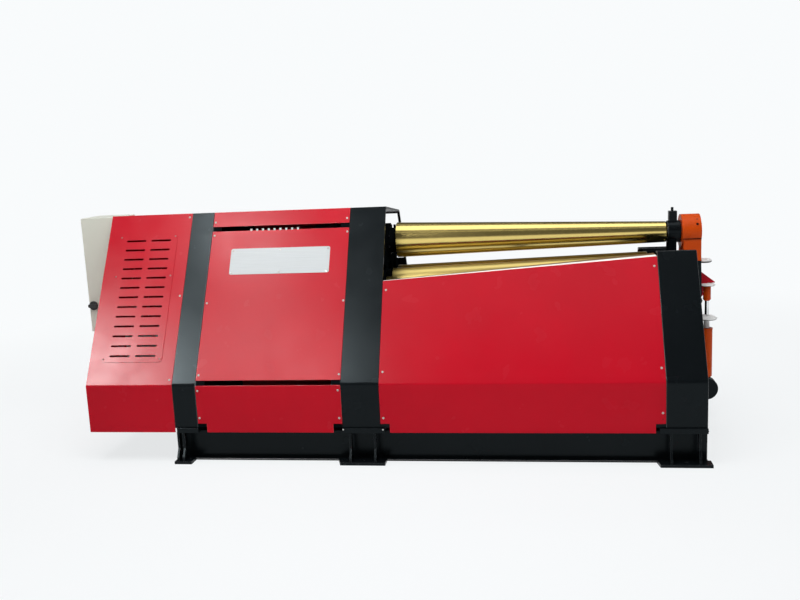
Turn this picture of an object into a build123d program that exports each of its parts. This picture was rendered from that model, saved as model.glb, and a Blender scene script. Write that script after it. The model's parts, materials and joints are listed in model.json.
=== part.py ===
"""Four-roll plate rolling machine with conical rolls, as separate pieces in one frame.

X runs along the rolls, the operator stands on the -Y side, Z is up, millimetres.
"""
import os
from math import atan, cos, degrees, hypot, radians, sin, tan

from build123d import *

os.makedirs("parts", exist_ok=True)

# Overall outline of the skin, seen from the end
fold_y = 831.0
fold_z = 464.0
top_y = 274.0
top_z = 1414.0
roof_drop = 60.0
roof_edge = 20.0
panel_bottom_z = 184.0

# Rolls
roll_x0 = -240.0
top_axis_drop = 231.0
top_roll_len = 1644.0
top_r0 = 110.0
top_r1 = 63.0
lower_end_gap = 108.0
bottom_r0 = 90.0
side_r0 = 80.0
lower_taper = 0.0234
nip_gap = 51.0
side_y = 243.0
side_drop = 30.0
side_tilt = 25.0
front_raise = 55.0
bottom_lift = 44.0
side_travel = 100.0
run_gap = 0.08
slide_gap = 0.5
edge_r = 4.0

lower_len = top_roll_len - lower_end_gap
roll_end_x = roll_x0 + top_roll_len
top_axis_z = top_z - top_axis_drop
top_taper = (top_r0 - top_r1) / top_roll_len
lower_slope = atan(top_taper + lower_taper)
bottom_axis_z0 = top_axis_z - top_r0 - nip_gap - bottom_r0
side_axis_z0 = bottom_axis_z0 - side_drop
bottom_r1 = bottom_r0 - lower_taper * lower_len
side_r1 = side_r0 - lower_taper * lower_len

# Stations along the machine
cover_left_x = -2000.0
left_hoop_x = (-1470.0, -1332.0)
stand_hoop_w = 215.0
middle_hoop_lead = 235.0
right_hoop_lead = 110.0
middle_hoop_x = (roll_x0 - middle_hoop_lead, roll_x0 - middle_hoop_lead + stand_hoop_w)
right_hoop_x = (roll_end_x - right_hoop_lead, roll_end_x - right_hoop_lead + stand_hoop_w)
right_top_drop = 62.0
right_rear_drop = 146.0
right_top_z = top_axis_z - right_top_drop
right_rear_top_z = top_axis_z - right_rear_drop

# Sheet and plate
panel_t = 4.0
hoop_t = 12.0
ledge_w = 56.0
seam = 2.0
notch_w = 52.0
notch_h = 52.0

# Base
rail_h = 184.0
rail_w = 94.0
rail_flange_t = 11.0
rail_web_t = 8.0
rail_edge_y = 784.0
sole_t = 30.0
sole_front_y = 845.0
rail_reach = (9.0, 15.0)
foot_t = 16.0
foot_front_y = 860.0
anchor_y = 822.0
anchor_r = 11.0
anchor_x = (-1401.0, roll_x0 - 127.0, roll_end_x - 3.0)
cross_x = (anchor_x[0], -1100.0, -700.0, anchor_x[1], 560.0, anchor_x[2])
gusset_t = 12.0
gusset_top_y = 822.0
gusset_foot_y = 850.0
gusset_step = (22.0, 70.0)

# Under each portal: how far sole, foot and gussets stand from the portal's left and right edges
portals = (left_hoop_x, middle_hoop_x, right_hoop_x)
sole_reach = ((13.0, 6.0), (0.0, 29.0), (-36.0, 1.0))
foot_reach = ((-12.0, -46.0), (-22.0, 22.0), (-32.0, 26.0))
foot_chamfer = (0.0, 24.0, 11.0)
gusset_reach = ((8.0, -96.0), (37.0, -36.0), (27.0, -38.0))

# Necks and chocks
top_neck_r = 65.0
top_shaft_r = 45.0
bottom_neck_l = 35.0
bottom_shaft_r = 28.0
side_neck_l = 32.0
neck_r_right = 25.0
stand_left_x = (middle_hoop_x[0] + 10.0, middle_hoop_x[1] - 35.0)
stand_right_x = (right_hoop_x[0] + 18.0, right_hoop_x[1] - 49.0)
chock_left_x = (stand_left_x[0] + 5.0, stand_left_x[1] - 5.0)
chock_right_x = (stand_right_x[0] + 6.0, roll_end_x)
stand_inset = 160.0
stand_top_half = 120.0
stand_hole = (130.0, 40.0, 190.0)
lip_t = 10.0
lip_w = 10.0
bottom_chock = (130.0, 140.0)
side_chock = (110.0, 120.0)
right_chock = (88.0, 88.0)
bearing_r = 80.0
bearing_flange_r = 98.0
seal_r = 78.0
seal_gap = 6.0
nipple_r = 7.0
top_shaft_end_x = stand_left_x[0] - 105.0

# Lift cylinders under the chocks
lift_barrel_r = 40.0
lift_barrel_len = 230.0
lift_rod_r = 22.0
lift_head_gap = 12.0

# Drop-end at the right
ring_r = 103.0
sleeve_r = 67.0
sleeve_bore = 60.0
sleeve_x = (roll_end_x + 8.0, roll_end_x + 84.0)
ring_x = (sleeve_x[1], sleeve_x[1] + 110.0)
hinge_x = ring_x[1] - 28.0
hinge_z = top_axis_z - 410.0
neck_r = 34.0
cone_x = (sleeve_x[1] - 8.0, sleeve_x[1] + 92.0)
cone_end_r = 12.0
bush_x = (ring_x[0] + 12.0, ring_x[0] + 98.0)
bush_r = 50.0
cheek_y = (70.0, 92.0)
hub_r = 34.0
hub_gap = 3.0
hinge_pin_r = 20.0
bracket_y = (96.0, 116.0)
lever_t = 18.0
cyl_x = hinge_x + 80.0
pin_rest_z = hinge_z + 42.0
clevis_pin_r = 12.0
clevis_drop = 61.0
clevis_rise = 31.0
flange_r = 48.0
flange_t = 16.0
fork_depth = 46.0
slot_gap = 2.0
clevis_r = 23.5
clevis_gap = 21.0
cyl_base_z = 205.0
barrel_top_z = hinge_z - 189.0
barrel_r = 35.0
barrel_rim = (36.5, 8.0)
barrel_wall = 18.0
barrel_floor = 25.0
rod_r = 12.5
piston_r = 25.0
piston_z = hinge_z - 343.0
piston_t = 30.0
gland_neck_r = 17.0
gland_cap_r = 61.0
base_pin_r = 12.0
eye_r = 27.0
eye_half = 17.0
ear_r = 68.0
ear_y = 19.0
ear_t = 14.0
pin_fit = 0.01
pin_head_t = 8.0
pin_head_w = 6.0
eye_wall = 5.0

# Electrical cabinet on the left end
cab_x = (-2250.0, -2000.0)
cab_y = (-218.0, 40.0)
cab_z = (top_z - 748.0, top_z - 12.0)
cab_t = 3.0
cab_rim = 27.0
cab_door_t = 18.0


def box(x0, x1, y0, y1, z0, z1):
    """Block between two opposite corners."""
    return Pos((x0 + x1) / 2, (y0 + y1) / 2, (z0 + z1) / 2) * Box(x1 - x0, y1 - y0, z1 - z0)


def cyl_along_x(x0, x1, r, y=0.0, z=0.0):
    """Round bar along X."""
    return Pos((x0 + x1) / 2, y, z) * Rot(0, 90, 0) * Cylinder(r, x1 - x0)


def cyl_along_y(y0, y1, r, x, z):
    """Round bar along Y."""
    return Pos(x, (y0 + y1) / 2, z) * Rot(90, 0, 0) * Cylinder(r, y1 - y0)


def cyl_along_z(z0, z1, r, x, y):
    """Round bar along Z."""
    return Pos(x, y, (z0 + z1) / 2) * Cylinder(r, z1 - z0)


def turned(points):
    """Turned solid about Z from (radius, height) points."""
    return revolve(make_face(Polyline([(r, 0, h) for r, h in points], close=True)), axis=Axis.Z)


def plate_yz(points, x0, x1):
    """Plate with a (y, z) outline between two stations along X."""
    face = make_face(Polyline([(x0, y, z) for y, z in points], close=True))
    return extrude(face, amount=x1 - x0, dir=(1, 0, 0))


def plate_xz(points, y0, y1):
    """Plate with an (x, z) outline between two depths along Y."""
    face = make_face(Polyline([(x, y0, z) for x, z in points], close=True))
    return extrude(face, amount=y1 - y0, dir=(0, 1, 0))


def plate_xy(points, z0, z1):
    """Plate with an (x, y) outline between two heights."""
    face = make_face(Polyline([(x, y, z0) for x, y in points], close=True))
    return extrude(face, amount=z1 - z0, dir=(0, 0, 1))


def offset_line(points, depth):
    """The skin line moved inwards by depth, mitred at its folds."""
    normals = []
    for (y0, z0), (y1, z1) in zip(points, points[1:]):
        length = hypot(y1 - y0, z1 - z0)
        normals.append(((z1 - z0) / length, -(y1 - y0) / length))
    moved = []
    for i, (y, z) in enumerate(points):
        n0 = normals[max(i - 1, 0)]
        n1 = normals[min(i, len(normals) - 1)]
        k = depth / (1 + n0[0] * n1[0] + n0[1] * n1[1])
        moved.append((y + k * (n0[0] + n1[0]), z + k * (n0[1] + n1[1])))
    return moved


def band(points, d0, d1, x0, x1):
    """Bent sheet between two depths under the skin line."""
    outline = offset_line(points, d0) + offset_line(points, d1)[::-1]
    return plate_yz(outline, x0, x1)


def lean_front(z):
    """Point of the front leaning skin at a height."""
    return (-fold_y + (z - fold_z) * (fold_y - top_y) / (top_z - fold_z), z)


def lean_rear(z):
    """Point of the rear leaning skin at a height."""
    return (fold_y - (z - fold_z) * (fold_y - top_y) / (top_z - roof_drop - fold_z), z)


front_fold = (-fold_y, fold_z)
rear_fold = (fold_y, fold_z)
sole_top_z = rail_h + sole_t
hoop_line = [(-fold_y, sole_top_z), front_fold, lean_front(top_z),
             lean_rear(top_z - roof_drop), rear_fold, (fold_y, sole_top_z)]
lean_deg = degrees(atan((fold_y - top_y) / (top_z - fold_z)))
lean_out = (0.0, -cos(radians(lean_deg)), sin(radians(lean_deg)))


def lean_plane(x, z):
    """Plane lying on the front leaning skin, its own Y running up the slope."""
    y, _ = lean_front(z)
    return Plane(origin=(x, y, z), x_dir=(1, 0, 0), z_dir=lean_out)


def axis_place(y, z0):
    """Place of a lower roll: local Z runs along its inclined axis from the barrel's left end."""
    return Pos(roll_x0, y, z0) * Rot(0, 90 - degrees(lower_slope), 0)


def axis_z(z0, x):
    """Height of a lower roll's axis at a station."""
    return z0 + (x - roll_x0) * tan(lower_slope)


# Base frame

def make_rail(side):
    """Rolled I-beam along the machine, standing on the floor."""
    y1 = side * rail_edge_y
    y0 = side * (rail_edge_y - rail_w)
    yc = (y0 + y1) / 2
    a, b = min(y0, y1), max(y0, y1)
    w = rail_web_t / 2
    f = rail_flange_t
    pts = [(a, 0), (b, 0), (b, f), (yc + w, f), (yc + w, rail_h - f), (b, rail_h - f),
           (b, rail_h), (a, rail_h), (a, rail_h - f), (yc - w, rail_h - f), (yc - w, f), (a, f)]
    return plate_yz(pts, left_hoop_x[0] - rail_reach[0], right_hoop_x[1] + rail_reach[1])


def make_cross_member(x):
    """Short I-beam between the two rails."""
    half = rail_w / 2
    w = rail_web_t / 2
    f = rail_flange_t
    pts = [(x - half, 0), (x + half, 0), (x + half, f), (x + w, f), (x + w, rail_h - f),
           (x + half, rail_h - f), (x + half, rail_h), (x - half, rail_h), (x - half, rail_h - f),
           (x - w, rail_h - f), (x - w, f), (x - half, f)]
    reach = rail_edge_y - rail_w
    return plate_xz(pts, -reach, reach)


def make_sole(portal, reach):
    """Thick plate across both rails under a portal."""
    return box(portal[0] + reach[0], portal[1] + reach[1], -sole_front_y, sole_front_y, rail_h, sole_top_z)


def make_foot(number, side):
    """Anchor foot in front of a rail: plate with one chamfered corner, two gussets, one anchor hole."""
    left, right = portals[number]
    reach = foot_reach[number]
    gussets = gusset_reach[number]
    ye = side * rail_edge_y
    yf = side * foot_front_y
    x0 = left + reach[0]
    x1 = right + reach[1]
    foot = plate_xy([(x0 - foot_chamfer[number], ye), (x0, yf), (x1, yf), (x1, ye)], 0, foot_t)
    step_low, step_high = gusset_step
    web = [(ye, foot_t), (side * gusset_foot_y, foot_t), (side * gusset_foot_y, foot_t + step_low),
           (side * gusset_top_y, foot_t + step_high), (side * gusset_top_y, rail_h), (ye, rail_h)]
    for gx in (left + gussets[0], right + gussets[1]):
        foot += plate_yz(web, gx - gusset_t / 2, gx + gusset_t / 2)
    return foot - cyl_along_z(-1, foot_t + 1, anchor_r, anchor_x[number], side * anchor_y)


# Stands

def chock_slot(y, z, tilt, width, length, x0, x1):
    """Block along a slide direction, used for windows; its middle is at (y, z)."""
    return Pos((x0 + x1) / 2, y, z) * Rot(tilt, 0, 0) * Box(x1 - x0, width, length)


def slide_dir(side):
    """Direction (y, z) in which a side roll rises; the front one leans to the rear."""
    t = radians(side_tilt)
    return (-side * sin(t), cos(t))


def side_rest(side):
    """Place (y, z) of a lower roll's axis at the barrel's left end; the front roll stands raised."""
    if side == 0:
        return (0.0, bottom_axis_z0)
    dy, dz = slide_dir(side)
    lift = front_raise if side < 0 else 0.0
    return (side * side_y + dy * lift, side_axis_z0 + dz * lift)


def cyl_bottom(chock_half):
    """Distance from a chock's middle down to the base of its lift cylinder."""
    return chock_half + lift_head_gap + lift_barrel_len


def window(side, zc, chock, travel, x0, x1, open_top):
    """Window of one chock with the room for its lift cylinder below it."""
    up = chock[1] / 2 + travel + (400.0 if open_top else 6.0)
    down = cyl_bottom(chock[1] / 2)
    shift = (up - down) / 2
    width = chock[0] + 2 * slide_gap
    if side == 0:
        return chock_slot(0, zc + shift, 0, width, up + down, x0, x1)
    dy, dz = slide_dir(side)
    return chock_slot(side * side_y + dy * shift, zc + dz * shift, side * side_tilt,
                      width, up + down, x0, x1)


def stand_edge(shoulders):
    """Rear edge (y, z) of a stand plate from its shoulders down, clear of the leaning skin."""
    y_in = fold_y - hoop_t
    edge = [(lean_rear(z)[0] - stand_inset, z) for z in shoulders + [fold_z + 56]]
    return edge + [(y_in, fold_z - 44), (y_in, sole_top_z)]


def stand_outline(front, crown, rear):
    """Outline (y, z) of a stand plate: front edge upwards, crown, rear edge downwards."""
    return [(-y, z) for y, z in reversed(stand_edge(front))] + crown + stand_edge(rear)


def low_hole(x0, x1):
    """Opening low in a stand for pipes."""
    half, low, high = stand_hole
    return box(x0 - 1, x1 + 1, -half, half, sole_top_z + low, sole_top_z + high)


def make_stand_left():
    """Heavy stand plate at the drive side: three chock windows and the top roll's bearing bore."""
    x0, x1 = stand_left_x
    xm = (x0 + x1) / 2
    top = top_axis_z + bearing_flange_r
    shoulders = [top_axis_z + 7, top_axis_z - 173]
    crown = [(-stand_top_half, top), (stand_top_half, top)]
    body = plate_yz(stand_outline(shoulders, crown, shoulders), x0, x1)
    body -= cyl_along_x(x0 - 1, x1 + 1, bearing_r, 0, top_axis_z)
    body -= window(0, axis_z(bottom_axis_z0, xm), bottom_chock, bottom_lift, x0 - 1, x1 + 1, False)
    for side in (-1, 1):
        body -= window(side, axis_z(side_axis_z0, xm), side_chock, side_travel, x0 - 1, x1 + 1, False)
    return body - low_hole(x0, x1)


def make_stand_right():
    """Lower stand plate at the drop-end side with open windows and a cradle for the sleeve."""
    x0, x1 = stand_right_x
    xm = (chock_right_x[0] + chock_right_x[1]) / 2
    crown = [(0, top_axis_z - 125), (300, top_axis_z - 161)]
    body = plate_yz(stand_outline([top_axis_z - 89, top_axis_z - 163], crown, [top_axis_z - 185]), x0, x1)
    cradle = box(sleeve_x[0] + 4, x1, -sleeve_bore, sleeve_bore, top_axis_z - 165, top_axis_z - 41)
    body -= window(0, axis_z(bottom_axis_z0, xm), right_chock, bottom_lift, x0 - 1, x1 + 1, True)
    for side in (-1, 1):
        body -= window(side, axis_z(side_axis_z0, xm), right_chock, side_travel, x0 - 1, x1 + 1, True)
    body += cradle
    return body - cyl_along_x(x0 - 1, x1 + 1, sleeve_r + 1.0, 0, top_axis_z)


def make_bearing():
    """Flanged bearing shell of the top roll in the left stand, with seal collar and two grease nipples."""
    z = top_axis_z
    x0, x1 = stand_left_x
    face = x1 + lip_t
    end = roll_x0 - seal_gap
    shell = cyl_along_x(x0, x1, bearing_r - run_gap, 0, z)
    shell += cyl_along_x(x1, face, bearing_flange_r, 0, z)
    shell += cyl_along_x(face, end, seal_r, 0, z)
    for x in (face + 8, end - 9):
        shell += cyl_along_z(z + top_neck_r + 5, z + bearing_flange_r, nipple_r, x, 0)
    return shell - cyl_along_x(x0 - 1, roll_x0, top_neck_r + run_gap, 0, z)


# Rolls

def make_top_roll():
    """Conical top roll with its drive neck and its tapered drop-end neck."""
    e = edge_r
    x0 = roll_x0
    end = x0 + top_roll_len
    pts = [(0, top_shaft_end_x), (top_shaft_r, top_shaft_end_x), (top_shaft_r, stand_left_x[0] - 8),
           (top_neck_r, stand_left_x[0] - 8), (top_neck_r, x0), (top_r0 - e, x0), (top_r0, x0 + e),
           (top_r1, end - e), (top_r1 - e, end), (neck_r, end), (neck_r, cone_x[0]),
           (cone_end_r, cone_x[1]), (0, cone_x[1])]
    return Pos(0, 0, top_axis_z) * Rot(0, 90, 0) * turned(pts)


def make_lower_roll(r0, r1, neck_l, reach_l, shaft, shaft_reach):
    """Conical lower roll along local Z, barrel from 0 to its length."""
    e = edge_r
    k = 1 / cos(lower_slope)
    n = lower_len * k
    neck_end = (chock_right_x[1] - roll_x0) * k
    pts = [(0, -shaft_reach), (shaft, -shaft_reach), (shaft, -reach_l), (neck_l, -reach_l), (neck_l, 0),
           (r0 - e, 0), (r0, e), (r1, n - e), (r1 - e, n), (neck_r_right, n), (neck_r_right, neck_end),
           (0, neck_end)]
    return turned(pts)


def make_chock(y, z0, x_range, size, tilt, neck, lip_x):
    """Bearing block with a retaining lip on the roll side and a bore along the inclined axis."""
    xm = (x_range[0] + x_range[1]) / 2
    zc = axis_z(z0, xm)
    x_in = min(lip_x[0], x_range[0])
    x_out = max(lip_x[1], x_range[1])
    block = Pos((x_in + x_out) / 2, y, zc) * Rot(tilt, 0, 0) * Box(x_out - x_in, size[0], size[1])
    lip = Pos((lip_x[0] + lip_x[1]) / 2, y, zc) * Rot(tilt, 0, 0)
    block += lip * Box(lip_x[1] - lip_x[0], size[0] + 2 * lip_w, size[1])
    return block - axis_place(y, z0) * Cylinder(neck + run_gap, 2 * 2400)


lip_left = (stand_left_x[1] + slide_gap, stand_left_x[1] + slide_gap + lip_t)
lip_right = (stand_right_x[0] - slide_gap - lip_t, stand_right_x[0] - slide_gap)


def chock_pair(side):
    """Left and right chocks of the bottom roll (side 0) or of a side roll."""
    tilt = side * side_tilt
    y, z0 = side_rest(side)
    left_size = side_chock if side else bottom_chock
    left_neck = side_neck_l if side else bottom_neck_l
    left = make_chock(y, z0, chock_left_x, left_size, tilt, left_neck, lip_left)
    right = make_chock(y, z0, chock_right_x, right_chock, tilt, neck_r_right, lip_right)
    return left, right


def lift_stations(side, place):
    """Middle of each chock, left then right, for a roll whose axis stands at a place (y, z)."""
    out = []
    y, z0 = place
    sizes = (side_chock if side else bottom_chock, right_chock)
    for x_range, size in zip((chock_left_x, chock_right_x), sizes):
        xm = (x_range[0] + x_range[1]) / 2
        out.append((xm, y, axis_z(z0, xm), size[1] / 2))
    return out


def lift_place(station, side):
    """Local frame of a lift cylinder: origin at the chock's middle, Z along the slide."""
    x, y, z, _ = station
    return Pos(x, y, z) * Rot(side * side_tilt, 0, 0)


def make_lift_barrel(station, side):
    """Lift cylinder barrel standing on the floor of its window."""
    half = station[3]
    top = -half - lift_head_gap
    base = top - lift_barrel_len
    pts = [(0, base), (lift_barrel_r, base), (lift_barrel_r, top - 22), (lift_barrel_r - 6, top - 16),
           (lift_barrel_r - 6, top), (lift_rod_r + run_gap, top), (lift_rod_r + run_gap, base + 20),
           (0, base + 20)]
    return lift_place(station, side) * turned(pts)


def make_lift_rod(station, side):
    """Lift cylinder rod screwed under its chock."""
    half = station[3]
    end = -half - lift_head_gap - lift_barrel_len + 30
    pts = [(0, end), (lift_rod_r, end), (lift_rod_r, -half), (0, -half)]
    return lift_place(station, side) * turned(pts)


# Roll drives

def make_top_gearbox():
    """Planetary gearbox of the top roll with its bell bolted to the stand."""
    x = stand_left_x[0]
    pts = [(92, x), (92, x - 14), (82, x - 22), (82, x - 60), (112, x - 66), (112, x - 150), (118, x - 150),
           (118, x - 172), (112, x - 172), (112, x - 290), (90, x - 318), (90, x - 336), (0, x - 336),
           (0, top_shaft_end_x - 6), (top_shaft_r + run_gap, top_shaft_end_x - 6),
           (top_shaft_r + run_gap, x - 30), (top_neck_r + 6, x - 24), (top_neck_r + 6, x)]
    return Pos(0, 0, top_axis_z) * Rot(0, 90, 0) * turned(pts)


def make_top_motor():
    """Hydraulic motor on the end of the top gearbox with two port blocks."""
    x = stand_left_x[0] - 336
    body = cyl_along_x(x - 26, x, 74, 0, top_axis_z)
    body += cyl_along_x(x - 150, x - 26, 58, 0, top_axis_z)
    body += box(x - 120, x - 50, -46, 46, top_axis_z, top_axis_z + 76)
    for dx in (-102, -68):
        body += cyl_along_z(top_axis_z + 76, top_axis_z + 96, 13, x + dx, 0)
    return body


bottom_gear_s = (roll_x0 - chock_left_x[0] + 22) / cos(lower_slope)


def make_bottom_gearbox():
    """Planetary gearbox riding on the bottom roll's left chock."""
    s = -bottom_gear_s
    pts = [(60, s + 30), (60, s), (92, s), (92, s - 110), (98, s - 110), (98, s - 130), (92, s - 130),
           (92, s - 220), (74, s - 240), (0, s - 240), (0, s - 104), (bottom_shaft_r + run_gap, s - 104),
           (bottom_shaft_r + run_gap, s - 6), (bottom_neck_l + 4, s), (bottom_neck_l + 4, s + 30)]
    body = axis_place(0, bottom_axis_z0) * turned(pts)
    return body - box(chock_left_x[0], roll_x0, -300, 300, bottom_axis_z0 - 400, bottom_axis_z0 + 400)


def make_bottom_motor():
    """Hydraulic motor on the end of the bottom gearbox."""
    s = -bottom_gear_s - 240
    pts = [(0, s), (62, s), (62, s - 22), (48, s - 22), (48, s - 140), (0, s - 140)]
    body = turned(pts)
    body += Pos(-52, 0, s - 74) * Box(40, 70, 64)
    return axis_place(0, bottom_axis_z0) * body


# Skin

def make_hoop(span, left_ledge, right_ledge):
    """Bent portal plate around a stand, with ledges that carry the panels."""
    hoop = band(hoop_line, 0, hoop_t, span[0], span[1])
    for line, reach in left_ledge:
        hoop += band(line, panel_t, hoop_t, span[0] - reach, span[0] + 1)
    for line, reach in right_ledge:
        hoop += band(line, panel_t, hoop_t, span[1] - 1, span[1] + reach)
    return hoop


panel_z_left = top_axis_z - 184.0
panel_z_right = panel_z_left + 95.0
rear_panel_drop = 112.0
front_ledge_mid = [(-fold_y, sole_top_z), front_fold, lean_front(panel_z_left - 12)]
front_ledge_right = [(-fold_y, sole_top_z), front_fold, lean_front(panel_z_right - 12)]
rear_ledge_mid = [lean_rear(panel_z_left - rear_panel_drop - 12), rear_fold, (fold_y, sole_top_z)]
rear_ledge_right = [lean_rear(panel_z_right - rear_panel_drop - 12), rear_fold, (fold_y, sole_top_z)]


def make_left_hoop():
    """Narrow portal between the end cover and the drive compartment."""
    return make_hoop(left_hoop_x, [(hoop_line, ledge_w)], [(hoop_line, ledge_w)])


def make_middle_hoop():
    """Portal over the drive-side stand, with an opening in its rear leg."""
    hoop = make_hoop(middle_hoop_x, [(hoop_line, ledge_w)],
                     [(front_ledge_mid, ledge_w), (rear_ledge_mid, ledge_w)])
    hole = box(middle_hoop_x[0] + 40, middle_hoop_x[1] - 16, top_y - 34, fold_y - ledge_w,
               top_z - 404, top_z - 84)
    return hoop - hole


def make_right_leg(side):
    """Leaning leg of the lower right portal, bent inwards at its top."""
    if side < 0:
        top = lean_front(right_top_z)
        line = [(-fold_y, sole_top_z), front_fold, top, (top[0] + 46, top[1] - 4)]
        ledge = front_ledge_right
    else:
        top = lean_rear(right_rear_top_z)
        line = [(top[0] - 46, top[1] - 4), top, rear_fold, (fold_y, sole_top_z)]
        ledge = rear_ledge_right
    leg = band(line, 0, hoop_t, right_hoop_x[0], right_hoop_x[1])
    return leg + band(ledge, panel_t, hoop_t, right_hoop_x[0] - ledge_w, right_hoop_x[0] + 1)


vent_w = 370.0
vent_h = 818.0
vent_x = (cover_left_x + left_hoop_x[0]) / 2
vent_z = 940.0
vent_t = 3.0
vent_rows = 13
vent_cols = 2
vent_slot = (126.0, 12.0)
vent_pitch = (160.0, 61.8)


def make_end_cover_front():
    """Front sheet of the left end cover, bent at the fold, open behind the vent panel."""
    line = [(-fold_y, panel_bottom_z), front_fold, lean_front(top_z)]
    sheet = band(line, 0, panel_t, cover_left_x, left_hoop_x[0] - seam)
    hole = extrude(RectangleRounded(vent_w - 36, vent_h - 36, 14), amount=40, both=True)
    return sheet - lean_plane(vent_x, vent_z) * hole


def make_end_cover_rear():
    """Rear sheet of the left end cover."""
    line = [lean_rear(top_z - roof_drop), rear_fold, (fold_y, panel_bottom_z)]
    return band(line, 0, panel_t, cover_left_x, left_hoop_x[0] - seam)


def roof_sheet(x0, x1):
    """Roof sheet between the leaning sheets, falling towards the rear."""
    sheet = band(hoop_line[2:4], 0, panel_t, x0, x1)
    front = [lean_front(top_z - roof_edge), lean_front(top_z + roof_edge)]
    rear_z = top_z - roof_drop
    rear = [lean_rear(rear_z + roof_edge), lean_rear(rear_z - roof_edge)]
    return sheet - band(front, -roof_edge, panel_t, x0, x1) - band(rear, -roof_edge, panel_t, x0, x1)


def make_end_plate():
    """Flat end of the left cover, inside the wrapped sheets."""
    line = [(-fold_y, panel_bottom_z), front_fold, lean_front(top_z), lean_rear(top_z - roof_drop),
            rear_fold, (fold_y, panel_bottom_z)]
    return plate_yz(offset_line(line, panel_t), cover_left_x, cover_left_x + panel_t)


floor_t = 6.0


def make_cover_floor():
    """Floor of the left end cover, level with the sole plates."""
    y = fold_y - panel_t
    return box(cover_left_x + panel_t, left_hoop_x[0], -y, y, sole_top_z - floor_t, sole_top_z)


beam_h = 80.0
beam_y = 300.0


def make_cantilever(side):
    """Channel that carries the end cover's floor from the left portal."""
    yc = side * beam_y
    pts = [(yc - 22, 0), (yc + 22, 0), (yc + 22, 8), (yc - 14, 8), (yc - 14, beam_h - 8),
           (yc + 22, beam_h - 8), (yc + 22, beam_h), (yc - 22, beam_h)]
    shifted = [(y, z + sole_top_z) for y, z in pts]
    return plate_yz(shifted, cover_left_x + panel_t, left_hoop_x[1])


def make_vent_panel():
    """Slotted vent panel lying on the end cover."""
    plate = extrude(RectangleRounded(vent_w, vent_h, 22), amount=vent_t)
    slot = extrude(SlotOverall(*vent_slot), amount=3 * vent_t, both=True)
    plate -= [place * slot for place in GridLocations(vent_pitch[0], vent_pitch[1], vent_cols, vent_rows)]
    return lean_plane(vent_x, vent_z) * plate


door_x = (left_hoop_x[1] + seam, middle_hoop_x[0] - seam)
strip_low_z = 1329.0
door_top_z = 1302.0
door_low_z = 489.0


def make_top_strip():
    """Narrow strip above the drive compartment's front panel."""
    return band([lean_front(strip_low_z), lean_front(top_z)], 0, panel_t, *door_x)


def make_door_panel():
    """Screwed front panel of the drive compartment."""
    return band([lean_front(door_low_z), lean_front(door_top_z)], 0, panel_t, *door_x)


def notches(x0, x1, y0, y1):
    """Corner cut-outs that clear the sole plates."""
    low = panel_bottom_z - 1
    high = panel_bottom_z + notch_h
    return [box(x0 - 1, x0 + notch_w, y0, y1, low, high), box(x1 - notch_w, x1 + 1, y0, y1, low, high)]


def make_lower_panel(side):
    """Upright lower panel of the drive compartment."""
    y = side * fold_y
    inner = side * (fold_y - panel_t)
    sheet = box(door_x[0], door_x[1], min(y, inner), max(y, inner), panel_bottom_z, fold_z - seam)
    return sheet - notches(door_x[0], door_x[1], min(y, inner) - 5, max(y, inner) + 5)


def make_rear_panel():
    """Rear leaning panel of the drive compartment."""
    return band([lean_rear(top_z - roof_drop), lean_rear(fold_z + 4)], 0, panel_t, *door_x)


nameplate = (612.0, 168.0, 1.6)
nameplate_x = -891.0
nameplate_z = 1126.0


def make_nameplate():
    """Bare plate with rounded corners on the front panel."""
    w, h, t = nameplate
    return lean_plane(nameplate_x, nameplate_z) * extrude(RectangleRounded(w, h, 12), amount=t)


lip_reach = (24.0, 150.0)


def make_long_panel(side):
    """Long panel below the rolls: fold, rising edge with a lip that widens to the right, notches."""
    x0 = middle_hoop_x[1] + seam
    x1 = right_hoop_x[0] - seam
    drop = 0.0 if side < 0 else rear_panel_drop
    z0 = panel_z_left - drop
    z1 = panel_z_right - drop
    lean = lean_front if side < 0 else lean_rear
    line = [(side * fold_y, panel_bottom_z), (side * fold_y, fold_z), lean(z1)]
    if side > 0:
        line = line[::-1]
    sheet = band(line, 0, panel_t, x0, x1)
    y_a, y_b = (-fold_y - 20, 0) if side < 0 else (0, fold_y + 20)
    sheet -= plate_xz([(x0 - 5, z0), (x1 + 5, z1), (x1 + 5, z1 + 300), (x0 - 5, z0 + 300)], y_a, y_b)
    ends = []
    for x, z, reach in ((x0, z0, lip_reach[0]), (x1, z1, lip_reach[1])):
        y = lean(z)[0]
        inner = y - side * reach
        ends.append(make_face(Polyline([(x, y, z), (x, inner, z), (x, inner, z - panel_t),
                                        (x, y, z - panel_t)], close=True)))
    sheet += loft(ends)
    return sheet - notches(x0, x1, y_a, y_b)


# Drive and hydraulic equipment inside

tank_x = (-1250.0, -560.0)
tank_y = 240.0
tank_z = (rail_h, 510.0)


def make_tank():
    """Oil tank on the cross members: welded box, raised lid, filler neck."""
    x0, x1 = tank_x
    z0, z1 = tank_z
    body = box(x0, x1, -tank_y, tank_y, z0, z1 - 14)
    body -= box(x0 + 5, x1 - 5, -tank_y + 5, tank_y - 5, z0 + 5, z1 - 20)
    body += box(x0 - 14, x1 + 14, -tank_y - 14, tank_y + 14, z1 - 14, z1)
    return body + cyl_along_z(z1, z1 + 36, 34, x1 - 70, -tank_y + 70)


motor_x = (-1180.0, -930.0)
motor_r = 92.0
motor_z = 626.0


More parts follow.
